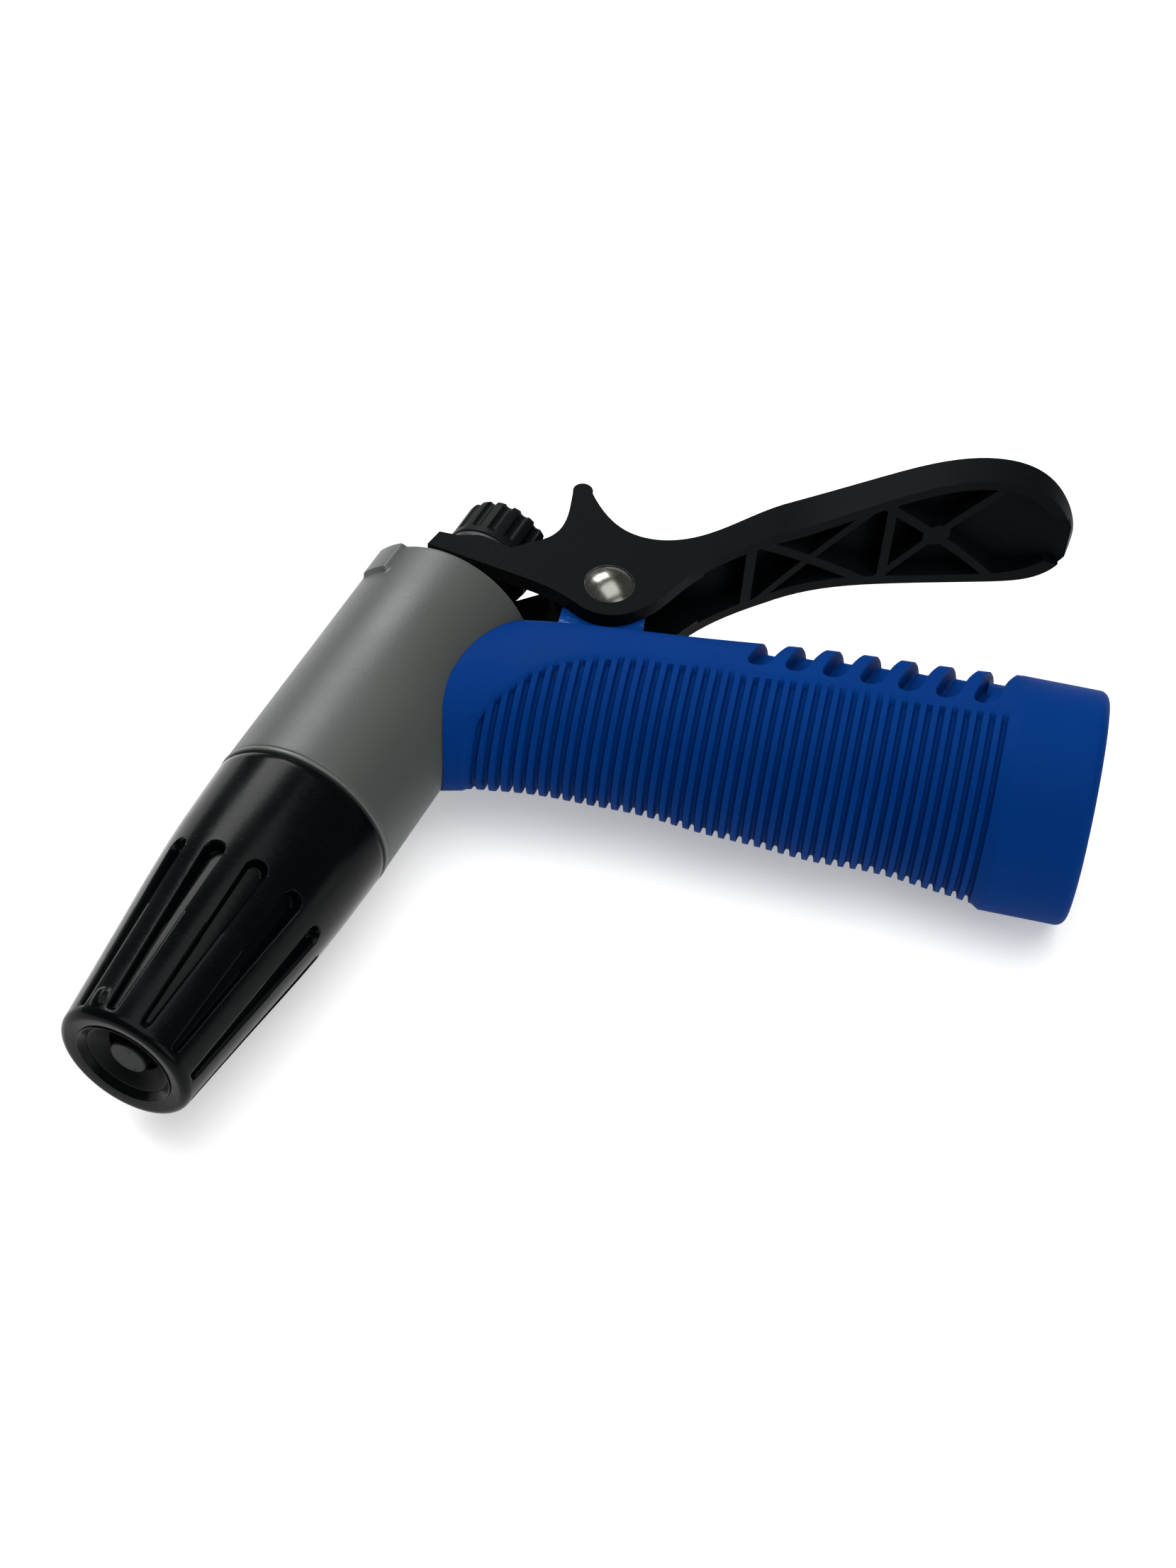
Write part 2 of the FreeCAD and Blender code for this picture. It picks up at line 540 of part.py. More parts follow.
def saddle_and_arm():
    """Points along the top of the trigger from the hand's saddle to the paddle's end, from the rivet."""
    return [V(0.2, 12.1, 0), V(4.5, 11.3, 0), V(9.5, 12.5, 0), V(21.5, 22.3, 0), V(38.4, 33.0, 0),
            V(52.0, 38.7, 0), V(63.0, 40.3, 0), V(PADDLE_END, 38.0, 0)]


def cam_point(angle):
    """Point on the rounded nose that presses the thrust washer, from the rivet."""
    turn = math.radians(angle)
    return barrel_point(CAM_STATION - CAM_RADIUS * math.cos(turn), -CAM_RADIUS * math.sin(turn)) - PIVOT


def lever_side():
    """Closed side view of the whole trigger: prongs, horn, saddle and paddle, from the rivet."""
    front = CAM_STATION + CAM_RADIUS - 0.9
    cam_right = barrel_point(CAM_STATION - CAM_RADIUS, 4.8) - PIVOT
    tip_rear = barrel_point(CAM_STATION - 0.4, -6.9) - PIVOT
    tip_front = barrel_point(front + 0.8, -7.3) - PIVOT
    prong_front = barrel_point(front - 0.4, 10.0) - PIVOT
    top = saddle_and_arm()
    horn_left, horn_top, horn_right = V(-9.8, 18.4, 0), V(-8.3, 20.6, 0), V(-6.6, 18.8, 0)
    valley = V(-12.0, 7.0, 0)
    rear = [Part.makeLine(tip_front, tip_rear), Part.makeLine(tip_rear, cam_point(60)),
            Part.Arc(cam_point(60), cam_point(15), cam_point(0)).toShape(),
            Part.makeLine(cam_point(0), cam_right), Part.makeLine(cam_right, valley),
            spline([valley, V(-10.1, 9.6, 0), V(-9.5, 13.3, 0), horn_left]),
            Part.Arc(horn_left, horn_top, horn_right).toShape(),
            spline([horn_right, V(-4.6, 16.0, 0)] + top)]
    paddle_low = V(PADDLE_END - 0.6, 35.4, 0)
    boss_right, boss_low, boss_left = V(5.6, -4.2, 0), V(0.6, -6.6, 0), V(-4.6, -5.2, 0)
    low = [Part.makeLine(top[-1], paddle_low),
           spline([paddle_low, V(61.0, 35.2, 0), V(42.0, 28.2, 0), V(23.0, 16.2, 0), V(11.5, 4.2, 0),
                   V(8.2, -1.4, 0), boss_right]),
           Part.Arc(boss_right, boss_low, boss_left).toShape(),
           spline([boss_left, V(-10.5, -2.8, 0), prong_front]),
           Part.makeLine(prong_front, tip_front)]
    return Part.Face(Part.Wire(rear + low))


def lever_plan(inset):
    """Plan of the trigger seen along +Y: narrow at the fork, widening to the rounded paddle."""
    near = FORK_HALF_WIDTH - inset
    wide = PADDLE_HALF_WIDTH - inset
    end = PADDLE_END - inset
    half = [V(24.0, 0, near), V(42.0, 0, near + 0.56 * (wide - near)), V(58.0, 0, wide),
            V(end - 5.0, 0, 0.8 * wide), V(end, 0, 0.0)]
    mirrored = [V(point.x, 0, -point.z) for point in reversed(half)]
    rim = spline(half + mirrored[1:])
    back = Part.makePolygon([mirrored[-1], V(-45, 0, -near), V(-45, 0, near), half[0]])
    plan = Part.Face(Part.Wire([rim] + back.Edges))
    plan.translate(V(0, -60, 0))
    return plan.extrude(V(0, 120, 0))


def lever_hollow():
    """Room under the saddle and the paddle, open towards the grip."""
    top = saddle_and_arm()
    under = []
    for here, after in zip(top, top[1:] + [top[-1] * 2 - top[-2]]):
        along = (after - here).normalize()
        under.append(here + V(along.y, -along.x, 0) * LEVER_WEB)
    start = V(-10.3, 7.4, 0)
    lid = spline([start, V(-5.0, under[0].y - 0.3, 0)] + under)
    drop = Part.makePolygon([under[-1], V(under[-1].x, -40, 0), V(start.x, -40, 0), start])
    side = Part.Face(Part.Wire([lid] + drop.Edges)).extrude(V(0, 0, 60))
    side.translate(V(0, 0, -30))
    arm_room = side.common(lever_plan(LEVER_WALL)).common(box_between(V(14, -50, -40), V(90, 60, 40)))
    cheek_room = side.common(box_between(V(-45, -50, -FORK_GAP), V(90, 60, FORK_GAP)))
    return arm_room.fuse(cheek_room)


def lever_ribs():
    """Crossing stiffeners in the paddle's hollow, with a small moulding boss."""
    lines = (((21.0, -8.0), (40.0, 9.5)), ((21.0, 8.0), (40.0, -9.5)),
             ((40.0, -9.5), (60.0, 11.0)), ((40.0, 9.5), (60.0, -11.0)))
    ribs = []
    for (x0, z0), (x1, z1) in lines:
        length = math.hypot(x1 - x0, z1 - z0)
        rib = box_between(V(-0.5, -60, -RIB_THICKNESS / 2), V(length + 0.5, 60, RIB_THICKNESS / 2))
        rib.rotate(V(0, 0, 0), V(0, 1, 0), -math.degrees(math.atan2(z1 - z0, x1 - x0)))
        rib.translate(V(x0, 0, z0))
        ribs.append(rib)
    for x in (20.0, 41.0):
        ribs.append(box_between(V(x, -60, -20), V(x + RIB_THICKNESS, 60, 20)))
    boss = Part.makeCylinder(2.2, 120, V(49.5, -60, 0), V(0, 1, 0))
    ribs.append(boss)
    grid = ribs[0].multiFuse(ribs[1:])
    band = lever_side()
    band.translate(V(0, LEVER_WEB + RIB_DEPTH - 5.6, -30))
    band = band.extrude(V(0, 0, 60))
    return grid.common(band).common(lever_plan(LEVER_WALL / 2)).common(
        box_between(V(14, -60, -40), V(PADDLE_END - 1.0, 60, 40)))


def trigger_lever():
    """Moulded trigger: forked at the knob, hung on the rivet, with a hollow ribbed paddle."""
    side = lever_side()
    side.translate(V(0, 0, -30))
    blank = side.extrude(V(0, 0, 60)).common(lever_plan(0.0))
    fork_room = box_between(V(-45, -50, -FORK_GAP), V(-10.2, 60, FORK_GAP))
    lever = blank.cut(lever_hollow()).cut(fork_room)
    lever = lever.fuse(lever_ribs().common(blank))
    hole = Part.makeCylinder(RIVET_RADIUS + FIT, 60, V(0, 0, -30))
    lever = largest(lever.cut(hole))
    lever.translate(PIVOT)
    return lever


def pivot_rivet():
    """Plated rivet with a domed head on each cheek."""
    shank = Part.makeCylinder(RIVET_RADIUS, 2 * FORK_HALF_WIDTH, V(0, 0, -FORK_HALF_WIDTH))
    dome_radius = (RIVET_HEAD_RADIUS ** 2 + RIVET_HEAD_HEIGHT ** 2) / (2 * RIVET_HEAD_HEIGHT)
    dome = Part.makeSphere(dome_radius, V(0, 0, FORK_HALF_WIDTH + RIVET_HEAD_HEIGHT - dome_radius))
    slab = Part.makeCylinder(RIVET_HEAD_RADIUS, 5, V(0, 0, FORK_HALF_WIDTH))
    head = dome.common(slab)
    other = head.mirror(V(0, 0, 0), V(0, 0, 1))
    rivet = shank.fuse(head).fuse(other)
    rivet.translate(PIVOT)
    return rivet


NODES = {
    "valve_body": valve_body, "grip_core": grip_core, "hose_coupler": hose_coupler,
    "hose_washer": hose_washer,
    "pivot_lug": pivot_lug, "pivot_bush": pivot_bush, "grip_sleeve": grip_sleeve,
    "barrel_shroud": barrel_shroud, "shroud_trim": shroud_trim, "valve_seat": valve_seat,
    "spring_seat": spring_seat, "stem_packing": stem_packing, "packing_washer": packing_washer,
    "packing_nut": packing_nut, "valve_stem": valve_stem, "spray_pintle": spray_pintle,
    "poppet_seal": poppet_seal, "poppet_washer": poppet_washer, "poppet_clip": poppet_clip,
    "return_spring": return_spring, "thrust_washer": thrust_washer, "adjusting_knob": adjusting_knob,
    "knob_insert": knob_insert, "front_nozzle": front_nozzle, "spray_orifice": spray_orifice,
    "nozzle_o_ring": nozzle_o_ring, "trigger_lever": trigger_lever, "pivot_rivet": pivot_rivet,
}


def main():
    os.makedirs("parts", exist_ok=True)
    for name, make in NODES.items():
        piece = export(make(), name)
        box = piece.BoundBox
        print(name, len(piece.Solids), piece.isValid(), round(piece.Volume, 1),
              [round(value, 1) for value in (box.XMin, box.XMax, box.YMin, box.YMax, box.ZMin, box.ZMax)])


main()
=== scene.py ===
import math

import bmesh
import bpy
import numpy as np
from mathutils import Matrix, Vector


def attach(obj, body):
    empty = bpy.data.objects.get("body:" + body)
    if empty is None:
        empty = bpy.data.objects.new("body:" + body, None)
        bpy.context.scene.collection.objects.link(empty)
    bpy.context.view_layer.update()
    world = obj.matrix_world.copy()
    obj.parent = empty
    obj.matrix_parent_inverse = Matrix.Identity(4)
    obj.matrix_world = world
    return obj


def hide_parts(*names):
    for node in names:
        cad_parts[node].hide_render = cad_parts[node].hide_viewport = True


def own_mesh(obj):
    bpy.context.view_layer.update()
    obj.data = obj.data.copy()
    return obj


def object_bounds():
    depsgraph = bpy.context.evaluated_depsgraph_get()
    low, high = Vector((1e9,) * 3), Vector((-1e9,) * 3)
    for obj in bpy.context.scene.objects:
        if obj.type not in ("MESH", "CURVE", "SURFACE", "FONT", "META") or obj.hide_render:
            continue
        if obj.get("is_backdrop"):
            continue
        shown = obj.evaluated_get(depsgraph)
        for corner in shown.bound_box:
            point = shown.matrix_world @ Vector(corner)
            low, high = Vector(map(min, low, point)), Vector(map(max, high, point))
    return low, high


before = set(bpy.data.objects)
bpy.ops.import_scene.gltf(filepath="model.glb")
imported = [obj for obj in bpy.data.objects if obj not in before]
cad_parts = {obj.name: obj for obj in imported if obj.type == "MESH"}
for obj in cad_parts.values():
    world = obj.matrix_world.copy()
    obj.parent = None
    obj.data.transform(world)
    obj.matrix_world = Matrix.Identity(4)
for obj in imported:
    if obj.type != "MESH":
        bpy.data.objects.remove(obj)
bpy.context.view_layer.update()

# A pistol hose nozzle lying on its side: grip along +X to the hose mouth at the origin, trigger on the
# +Y side, rivet parallel to +Z.  Sizes are in millimetres until a mesh is written, in metres.


# ---- Barrel shroud ------------------------------------------------------------------------------------
# Satin grey cover tube over the barrel's core, with a small raised key at its rear end that locates it.
# Injection moulded ABS, slid over the core from the front.  The tube is a turned outline whose radius
# rises over the key.

millimetre = 0.001
grip_reach = 108.3
barrel_angle = math.radians(105.0)
spray = np.array([math.cos(barrel_angle), -math.sin(barrel_angle), 0.0])
across = np.array([math.sin(barrel_angle), math.cos(barrel_angle), 0.0])
barrel_origin = np.array([-grip_reach, 0.0, 0.0])
lateral = np.array([0.0, 0.0, 1.0])


def on_barrel(points):
    """Barrel coordinates to the object's: x across the barrel, y towards the rivet's axis, z along it."""
    return barrel_origin + points[..., :1] * across + points[..., 1:2] * lateral + points[..., 2:] * spray


def rounded(corners, steps=6):
    """Closed outline from corners (radius, station, rounding): each corner is a quadratic arc whose ends
    lie the rounding away along both sides."""
    spots = np.array([corner[:2] for corner in corners], float)
    outline = []
    for here, before, after, corner in zip(spots, np.roll(spots, 1, 0), np.roll(spots, -1, 0), corners):
        start = here + (before - here) * corner[2] / max(np.linalg.norm(before - here), 1e-9)
        end = here + (after - here) * corner[2] / max(np.linalg.norm(after - here), 1e-9)
        t = np.linspace(0, 1, steps if corner[2] else 1)[:, None]
        outline.append((1 - t) ** 2 * start + 2 * t * (1 - t) * here + t ** 2 * end)
    return np.concatenate(outline)


def divided(outline, spacing):
    """The closed outline with points added, so that no side is longer than the spacing."""
    pieces = []
    for here, after in zip(outline, np.roll(outline, -1, 0)):
        count = max(1, math.ceil(np.linalg.norm(after - here) / spacing))
        pieces.append(here + (after - here) * np.linspace(0, 1, count, endpoint=False)[:, None])
    return np.concatenate(pieces)


def turned(outline, segments, surface=None):
    """Grid of the closed outline (radius, station) carried round an axis.  surface(r, station, angle)
    gives the radius and the angle of each point, for a piece that isn't round."""
    angle = np.linspace(0, 2 * math.pi, segments, endpoint=False)[None, :]
    r, station = outline[:, :1] + 0 * angle, outline[:, 1:] + 0 * angle
    if surface:
        r, angle = surface(r, station, angle + 0 * r)
    return np.stack([r * np.cos(angle), r * np.sin(angle), station], -1)


def grid_piece(name, grid, crease=35.0):
    """Closed mesh from a grid of points in millimetres that wraps round in both directions.  Points that
    fall together at a pole are merged, and edges sharper than the crease angle are shaded sharp."""
    rows, columns = grid.shape[:2]
    index = np.arange(rows * columns).reshape(rows, columns)
    below, beside = np.roll(index, -1, 0), np.roll(index, -1, 1)
    quads = np.stack([index, beside, np.roll(beside, -1, 0), below], -1).reshape(-1, 4)
    mesh = bpy.data.meshes.new(name)
    mesh.vertices.add(rows * columns)
    mesh.vertices.foreach_set("co", (grid.reshape(-1) * millimetre).astype(np.float32))
    mesh.loops.add(quads.size)
    mesh.loops.foreach_set("vertex_index", quads.reshape(-1).astype(np.int32))
    mesh.polygons.add(len(quads))
    mesh.polygons.foreach_set("loop_start", np.arange(0, quads.size, 4, dtype=np.int32))
    mesh.update()
    return tidied(name, mesh, crease)


def tidied(name, mesh, crease):
    """Object of the mesh: doubles merged, faces pointing outwards, smooth shading up to the crease."""
    work = bmesh.new()
    work.from_mesh(mesh)
    bmesh.ops.remove_doubles(work, verts=work.verts, dist=2e-7)
    bmesh.ops.recalc_face_normals(work, faces=work.faces)
    work.to_mesh(mesh)
    work.free()
    mesh.shade_smooth()
    mesh.set_sharp_from_angle(angle=math.radians(crease))
    piece = bpy.data.objects.new(name, mesh)
    bpy.context.scene.collection.objects.link(piece)
    return piece


def smoothstep(x):
    """0 below 0, 1 above 1, and 3x^2 - 2x^3 between them."""
    x = np.clip(x, 0, 1)
    return x * x * (3 - 2 * x)


def paint(red, green, blue):
    """Linear colour of an eight-bit colour."""
    return tuple(((c / 255 + 0.055) / 1.055) ** 2.4 if c > 10 else c / 255 / 12.92
                 for c in (red, green, blue)) + (1.0,)


def socket_group(name, inputs, outputs):
    """Empty shader node group with named inputs (name, kind, value) and outputs (name, kind)."""
    group = bpy.data.node_groups.new(name, "ShaderNodeTree")
    for label, kind, value in inputs:
        socket = group.interface.new_socket(label, in_out="INPUT", socket_type=kind)
        socket.default_value = value
    for label, kind in outputs:
        group.interface.new_socket(label, in_out="OUTPUT", socket_type=kind)
    return group, group.nodes.new("NodeGroupInput"), group.nodes.new("NodeGroupOutput")


def math_node(tree, operation, *values):
    """Math node on sockets or numbers; gives its output."""
    node = tree.nodes.new("ShaderNodeMath")
    node.operation = operation
    for socket, value in zip(node.inputs, values):
        if hasattr(value, "links"):
            tree.links.new(value, socket)
        else:
            socket.default_value = value
    return node.outputs[0]


def noise_node(tree, place, scale, detail):
    """Noise at a scale given as a socket; gives its value's output."""
    node = tree.nodes.new("ShaderNodeTexNoise")
    tree.links.new(place, node.inputs["Vector"])
    tree.links.new(scale, node.inputs["Scale"])
    node.inputs["Detail"].default_value = detail
    return node.outputs["Fac"]


def moulded_skin():
    """Skin of a moulded plastic or rubber piece: slow changes of shade and roughness from the flow of the
    melt, and as a height the fine grain of the mould's wall."""
    group, inside, outside = socket_group(
        "moulded_skin",
        [("Shade", "NodeSocketColor", (0.5, 0.5, 0.5, 1)), ("Shade change", "NodeSocketFloat", 0.1),
         ("Patch scale", "NodeSocketFloat", 60.0), ("Grain scale", "NodeSocketFloat", 2500.0),
         ("Roughness", "NodeSocketFloat", 0.5), ("Roughness change", "NodeSocketFloat", 0.1)],
        [("Colour", "NodeSocketColor"), ("Roughness", "NodeSocketFloat"), ("Height", "NodeSocketFloat")])
    place = group.nodes.new("ShaderNodeTexCoord").outputs["Object"]
    patch = noise_node(group, place, inside.outputs["Patch scale"], detail=3.0)
    grain = noise_node(group, place, inside.outputs["Grain scale"], detail=2.0)
    swing = math_node(group, "SUBTRACT", patch, 0.5)
    lift = math_node(group, "MULTIPLY", swing, inside.outputs["Shade change"])
    tint = group.nodes.new("ShaderNodeHueSaturation")
    group.links.new(inside.outputs["Shade"], tint.inputs["Color"])
    group.links.new(math_node(group, "MULTIPLY_ADD", lift, 2.0, 1.0), tint.inputs["Value"])
    group.links.new(tint.outputs["Color"], outside.inputs["Colour"])
    uneven = math_node(group, "MULTIPLY", swing, inside.outputs["Roughness change"])
    rough = math_node(group, "ADD", uneven, inside.outputs["Roughness"])
    group.links.new(rough, outside.inputs["Roughness"])
    group.links.new(grain, outside.inputs["Height"])
    return group


def scuff_marks():
    """Fine scratches in two directions: noise drawn out along one axis, cut off so that only its
    narrow crests are left."""
    crest_level, crest_gain = 0.66, 14.0
    group, inside, outside = socket_group(
        "scuff_marks", [("Scale", "NodeSocketFloat", 300.0), ("Amount", "NodeSocketFloat", 0.3)],
        [("Mask", "NodeSocketFloat")])
    place = group.nodes.new("ShaderNodeTexCoord").outputs["Object"]
    masks = []
    for turn, stretch in ((0.4, (1.0, 14.0, 1.0)), (1.9, (1.0, 9.0, 3.0))):
        mapping = group.nodes.new("ShaderNodeMapping")
        mapping.inputs["Rotation"].default_value = (0.2, turn / 2, turn)
        mapping.inputs["Scale"].default_value = stretch
        group.links.new(place, mapping.inputs["Vector"])
        value = noise_node(group, mapping.outputs["Vector"], inside.outputs["Scale"], detail=2.0)
        ridge = math_node(group, "SUBTRACT", value, crest_level)
        masks.append(math_node(group, "MULTIPLY", ridge, crest_gain))
    both = math_node(group, "MAXIMUM", masks[0], masks[1])
    clipped = group.nodes.new("ShaderNodeClamp")
    group.links.new(both, clipped.inputs["Value"])
    group.links.new(math_node(group, "MULTIPLY", clipped.outputs[0], inside.outputs["Amount"]),
                    outside.inputs["Mask"])
    return group


skin_group, scuff_group = moulded_skin(), scuff_marks()


def moulding(name, shade, roughness, shade_change=0.12, patch=70.0, grain=2600.0, grain_depth=0.03,
             scuffs=0.15, scuff_scale=260.0, scuff_shade=None, specular=0.5, metallic=0.0):
    """Material of one moulded, turned or plated finish: shade and roughness from the skin, paler and
    rougher along the scuffs, and a bump from the grain."""
    material = bpy.data.materials.new(name)
    material.use_nodes = True
    tree = material.node_tree
    shader = tree.nodes["Principled BSDF"]
    skin = tree.nodes.new("ShaderNodeGroup")
    skin.node_tree = skin_group
    for label, value in (("Shade", shade), ("Shade change", shade_change), ("Patch scale", patch),
                         ("Grain scale", grain), ("Roughness", roughness), ("Roughness change", 0.25)):
        skin.inputs[label].default_value = value
    marks = tree.nodes.new("ShaderNodeGroup")
    marks.node_tree = scuff_group
    marks.inputs["Scale"].default_value = scuff_scale
    marks.inputs["Amount"].default_value = scuffs
    worn = tree.nodes.new("ShaderNodeMix")
    worn.data_type = "RGBA"
    tree.links.new(marks.outputs["Mask"], worn.inputs["Factor"])
    tree.links.new(skin.outputs["Colour"], worn.inputs["A"])
    paler = tuple(min(1, c * 2.2 + 0.01) for c in shade[:3]) + (1.0,)
    worn.inputs["B"].default_value = scuff_shade or paler
    tree.links.new(worn.outputs["Result"], shader.inputs["Base Color"])
    tree.links.new(math_node(tree, "ADD", skin.outputs["Roughness"], marks.outputs["Mask"]),
                   shader.inputs["Roughness"])
    bump = tree.nodes.new("ShaderNodeBump")
    bump.inputs["Strength"].default_value = 1.0
    bump.inputs["Distance"].default_value = grain_depth * millimetre
    tree.links.new(skin.outputs["Height"], bump.inputs["Height"])
    tree.links.new(bump.outputs["Normal"], shader.inputs["Normal"])
    shader.inputs["Specular IOR Level"].default_value = specular
    shader.inputs["Metallic"].default_value = metallic
    return material


def fitted(piece, body, material, node):
    """The piece gets its material, rides on its body and stands for its CAD node."""
    piece.data.materials.clear()
    piece.data.materials.append(material)
    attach(piece, body)
    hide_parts(node)


shroud_radius, shroud_wall = 14.7, 1.8
shroud_bore, outer_skin = shroud_radius - shroud_wall, 0.6
shroud_rear, shroud_front = -14.4, 32.6
key_angle, key_half_width, key_length = math.radians(135.0), 3.0, 6.5
key_height, key_side = 0.8, 0.8


def key_rise(r, station, angle):
    """Radius of the shroud: the tube's, plus a rounded block of the key's height at the key."""
    beside = np.abs(np.angle(np.exp(1j * (angle - key_angle)))) * shroud_radius
    inside = np.minimum(key_half_width - beside, shroud_rear + key_length - station)
    return r + key_height * smoothstep(inside / key_side + 0.2) * (r > shroud_radius - outer_skin), angle


shroud_outline = rounded([(shroud_radius, shroud_rear, 0.5), (shroud_radius, shroud_front, 0.5),
                          (shroud_bore, shroud_front, 0.2), (shroud_bore, shroud_rear, 0.3)])
shroud_grid = turned(divided(shroud_outline, spacing=0.6), segments=320, surface=key_rise)
barrel_shroud = grid_piece("barrel_shroud_cover", on_barrel(shroud_grid))
shroud_grey = moulding("shroud_grey", paint(57, 61, 58), 0.45, shade_change=0.06, patch=45.0, grain=2200.0,
                       grain_depth=0.02, scuffs=0.05, specular=0.35)
fitted(barrel_shroud, "body", shroud_grey, "barrel_shroud")


# ---- Trim ring ----------------------------------------------------------------------------------------
# Thin paler bead at the shroud's front edge, the end of the moulding that the nozzle seats against.
# The same plastic, a plain ring with a rounded rim.

trim_thickness, trim_proud = 0.7, 0.1
spigot_radius, spigot_gap = 10.8, 0.05
trim_front = shroud_front + trim_thickness
trim_radius, trim_bore = shroud_radius + trim_proud, spigot_radius + spigot_gap
trim_outline = rounded([(trim_radius, shroud_front, 0.1), (trim_radius, trim_front, 0.3),
                        (trim_bore, trim_front, 0.0), (trim_bore, shroud_front, 0.0)])
trim_ring = grid_piece("trim_bead", on_barrel(turned(trim_outline, segments=256)))
trim_grey = moulding("trim_grey", paint(68, 71, 68), 0.42, shade_change=0.05, scuffs=0.05, specular=0.35)
fitted(trim_ring, "body", trim_grey, "shroud_trim")


# ---- Spray nozzle -------------------------------------------------------------------------------------
# Gloss black front nozzle, turned by hand along the spigot to change the spray.  Moulded, with twelve
# finger slots that have a deep round rear end and run out at the front, and a small index pip.

nozzle_gap, nozzle_length = 0.3, 50.6
nozzle_rear = trim_front + nozzle_gap
nozzle_front = nozzle_rear + nozzle_length
nozzle_tip_radius, nozzle_edge, rear_face_radius = 10.8, 1.4, 14.5
nozzle_bore, bore_end, insert_pocket = 10.88, 50.6, 8.05
recess_radius, recess_depth, recess_slope = 7.8, 1.2, 1.2
recess_floor = nozzle_front - recess_depth
slot_count, slot_phase = 12, math.radians(12.5)
slot_sector = 2 * math.pi / slot_count
slot_front, slot_length = nozzle_front - 1.6, 31.0
slot_width, slot_tip_width, slot_lip, slot_fade = 3.1, 1.1, 0.5, 1.0
slot_rear = slot_front - slot_length
slot_round_centre = slot_rear + slot_width / 2
skin_at_tip, skin_at_bore = 9.5, 11.5
pip_angle, pip_station = slot_phase + math.radians(105.0), nozzle_front - 3.2
pip_length, pip_width, pip_height = 1.5, 1.0, 0.5


def through(knots, values):
    """Natural cubic curve through the values at the knots, as a function of the position."""
    knots, values = np.array(knots, float), np.array(values, float)
    step = np.diff(knots)
    system = np.eye(len(knots))
    right = np.zeros(len(knots))
    for i in range(1, len(knots) - 1):
        system[i, i - 1:i + 2] = step[i - 1], 2 * (step[i - 1] + step[i]), step[i]
        right[i] = 6 * ((values[i + 1] - values[i]) / step[i] - (values[i] - values[i - 1]) / step[i - 1])
    bend = np.linalg.solve(system, right)

    def curve(x):
        i = np.clip(np.searchsorted(knots, x) - 1, 0, len(step) - 1)
        a, b = knots[i + 1] - x, x - knots[i]
        return ((bend[i] * a ** 3 + bend[i + 1] * b ** 3) / (6 * step[i])
                + (values[i] / step[i] - bend[i] * step[i] / 6) * a
                + (values[i + 1] / step[i] - bend[i + 1] * step[i] / 6) * b)
    return curve


nozzle_flank = through([nozzle_rear, nozzle_rear + 16.0, nozzle_rear + 31.5, nozzle_front - nozzle_edge],
                       [shroud_radius, 14.1, 12.6, nozzle_tip_radius])
slot_floor = through([slot_rear - 2, slot_rear + 8, slot_front + 1], [12.2, 11.7, 9.7])


def slot_half_width(station):
    """Half width of a slot's outline, tapering from the round rear end to the tip."""
    share = np.clip((station - slot_round_centre) / (slot_front - slot_round_centre), 0, 1)
    return slot_width / 2 + (slot_tip_width - slot_width) / 2 * share


def slot_columns(r, station, angle):
    """Angle of each column, moved so that a third of them lie on the slot's floor, a third on its lip
    and a third on the land between slots, all along the slot."""
    place = (angle + slot_sector / 2) % slot_sector - slot_sector / 2
    half = slot_half_width(station) / r
    lip = slot_lip / 2 / r
    knots = [0 * half, half - lip, half + lip, 0 * half + slot_sector / 2]
    share = np.abs(place) / (slot_sector / 2) * 3
    moved = np.zeros_like(place)
    for step in range(3):
        part = np.clip(share - step, 0, 1)
        moved = moved + part * (knots[step + 1] - knots[step])
    return angle - place + np.sign(place) * moved + slot_phase


def finger_slots(r, station, angle):
    """Radius of the nozzle: falls to the slot's floor inside a tapered outline with a round rear end,
    over a rounded lip, and rises over the index pip.  Only the outer skin takes them, not the bore."""
    angle = slot_columns(r, station, angle)
    beside = np.abs((angle - slot_phase + slot_sector / 2) % slot_sector - slot_sector / 2) * r
    outside = np.hypot(beside, np.minimum(station - slot_round_centre, 0)) - slot_half_width(station)
    cut = smoothstep(0.5 - outside / slot_lip) * smoothstep((slot_front - station) / slot_fade)
    skin = r > np.where(station > bore_end, skin_at_tip, skin_at_bore)
    sunk = r - np.maximum(r - slot_floor(station), 0) * cut * skin
    around = np.angle(np.exp(1j * (angle - pip_angle))) * nozzle_tip_radius
    pip = 1 - (around / pip_width) ** 4 - ((station - pip_station) / pip_length) ** 4
    return sunk + pip_height * np.sqrt(np.clip(pip, 0, 1)) * skin, angle


# Rows lie closest where the slots' round rear ends are.
dense_start, dense_end = slot_rear - 0.6, slot_rear + 2.4
flank_stations = np.concatenate([np.linspace(nozzle_rear + 0.5, dense_start, 22)[:-1],
                                 np.linspace(dense_start, dense_end, 36)[:-1],
                                 np.linspace(dense_end, nozzle_front - nozzle_edge, 90)])
flank = np.stack([nozzle_flank(flank_stations), flank_stations], -1)
rim_turn = np.linspace(0, math.pi / 2, 9)[1:, None]
rim_centre = np.array([nozzle_tip_radius - nozzle_edge, nozzle_front - nozzle_edge])
rim = rim_centre + nozzle_edge * np.hstack([np.cos(rim_turn), np.sin(rim_turn)])
mouth = rounded([(recess_radius, nozzle_front, 0.35), (recess_radius - recess_slope, recess_floor, 0.15),
                 (insert_pocket, recess_floor, 0.0), (insert_pocket, bore_end + 2.0, 0.0),
                 (nozzle_bore, bore_end, 0.0), (nozzle_bore, nozzle_rear, 0.2),
                 (rear_face_radius, nozzle_rear, 0.2)])
nozzle_grid = turned(np.concatenate([flank, rim, mouth]), segments=36 * slot_count, surface=finger_slots)
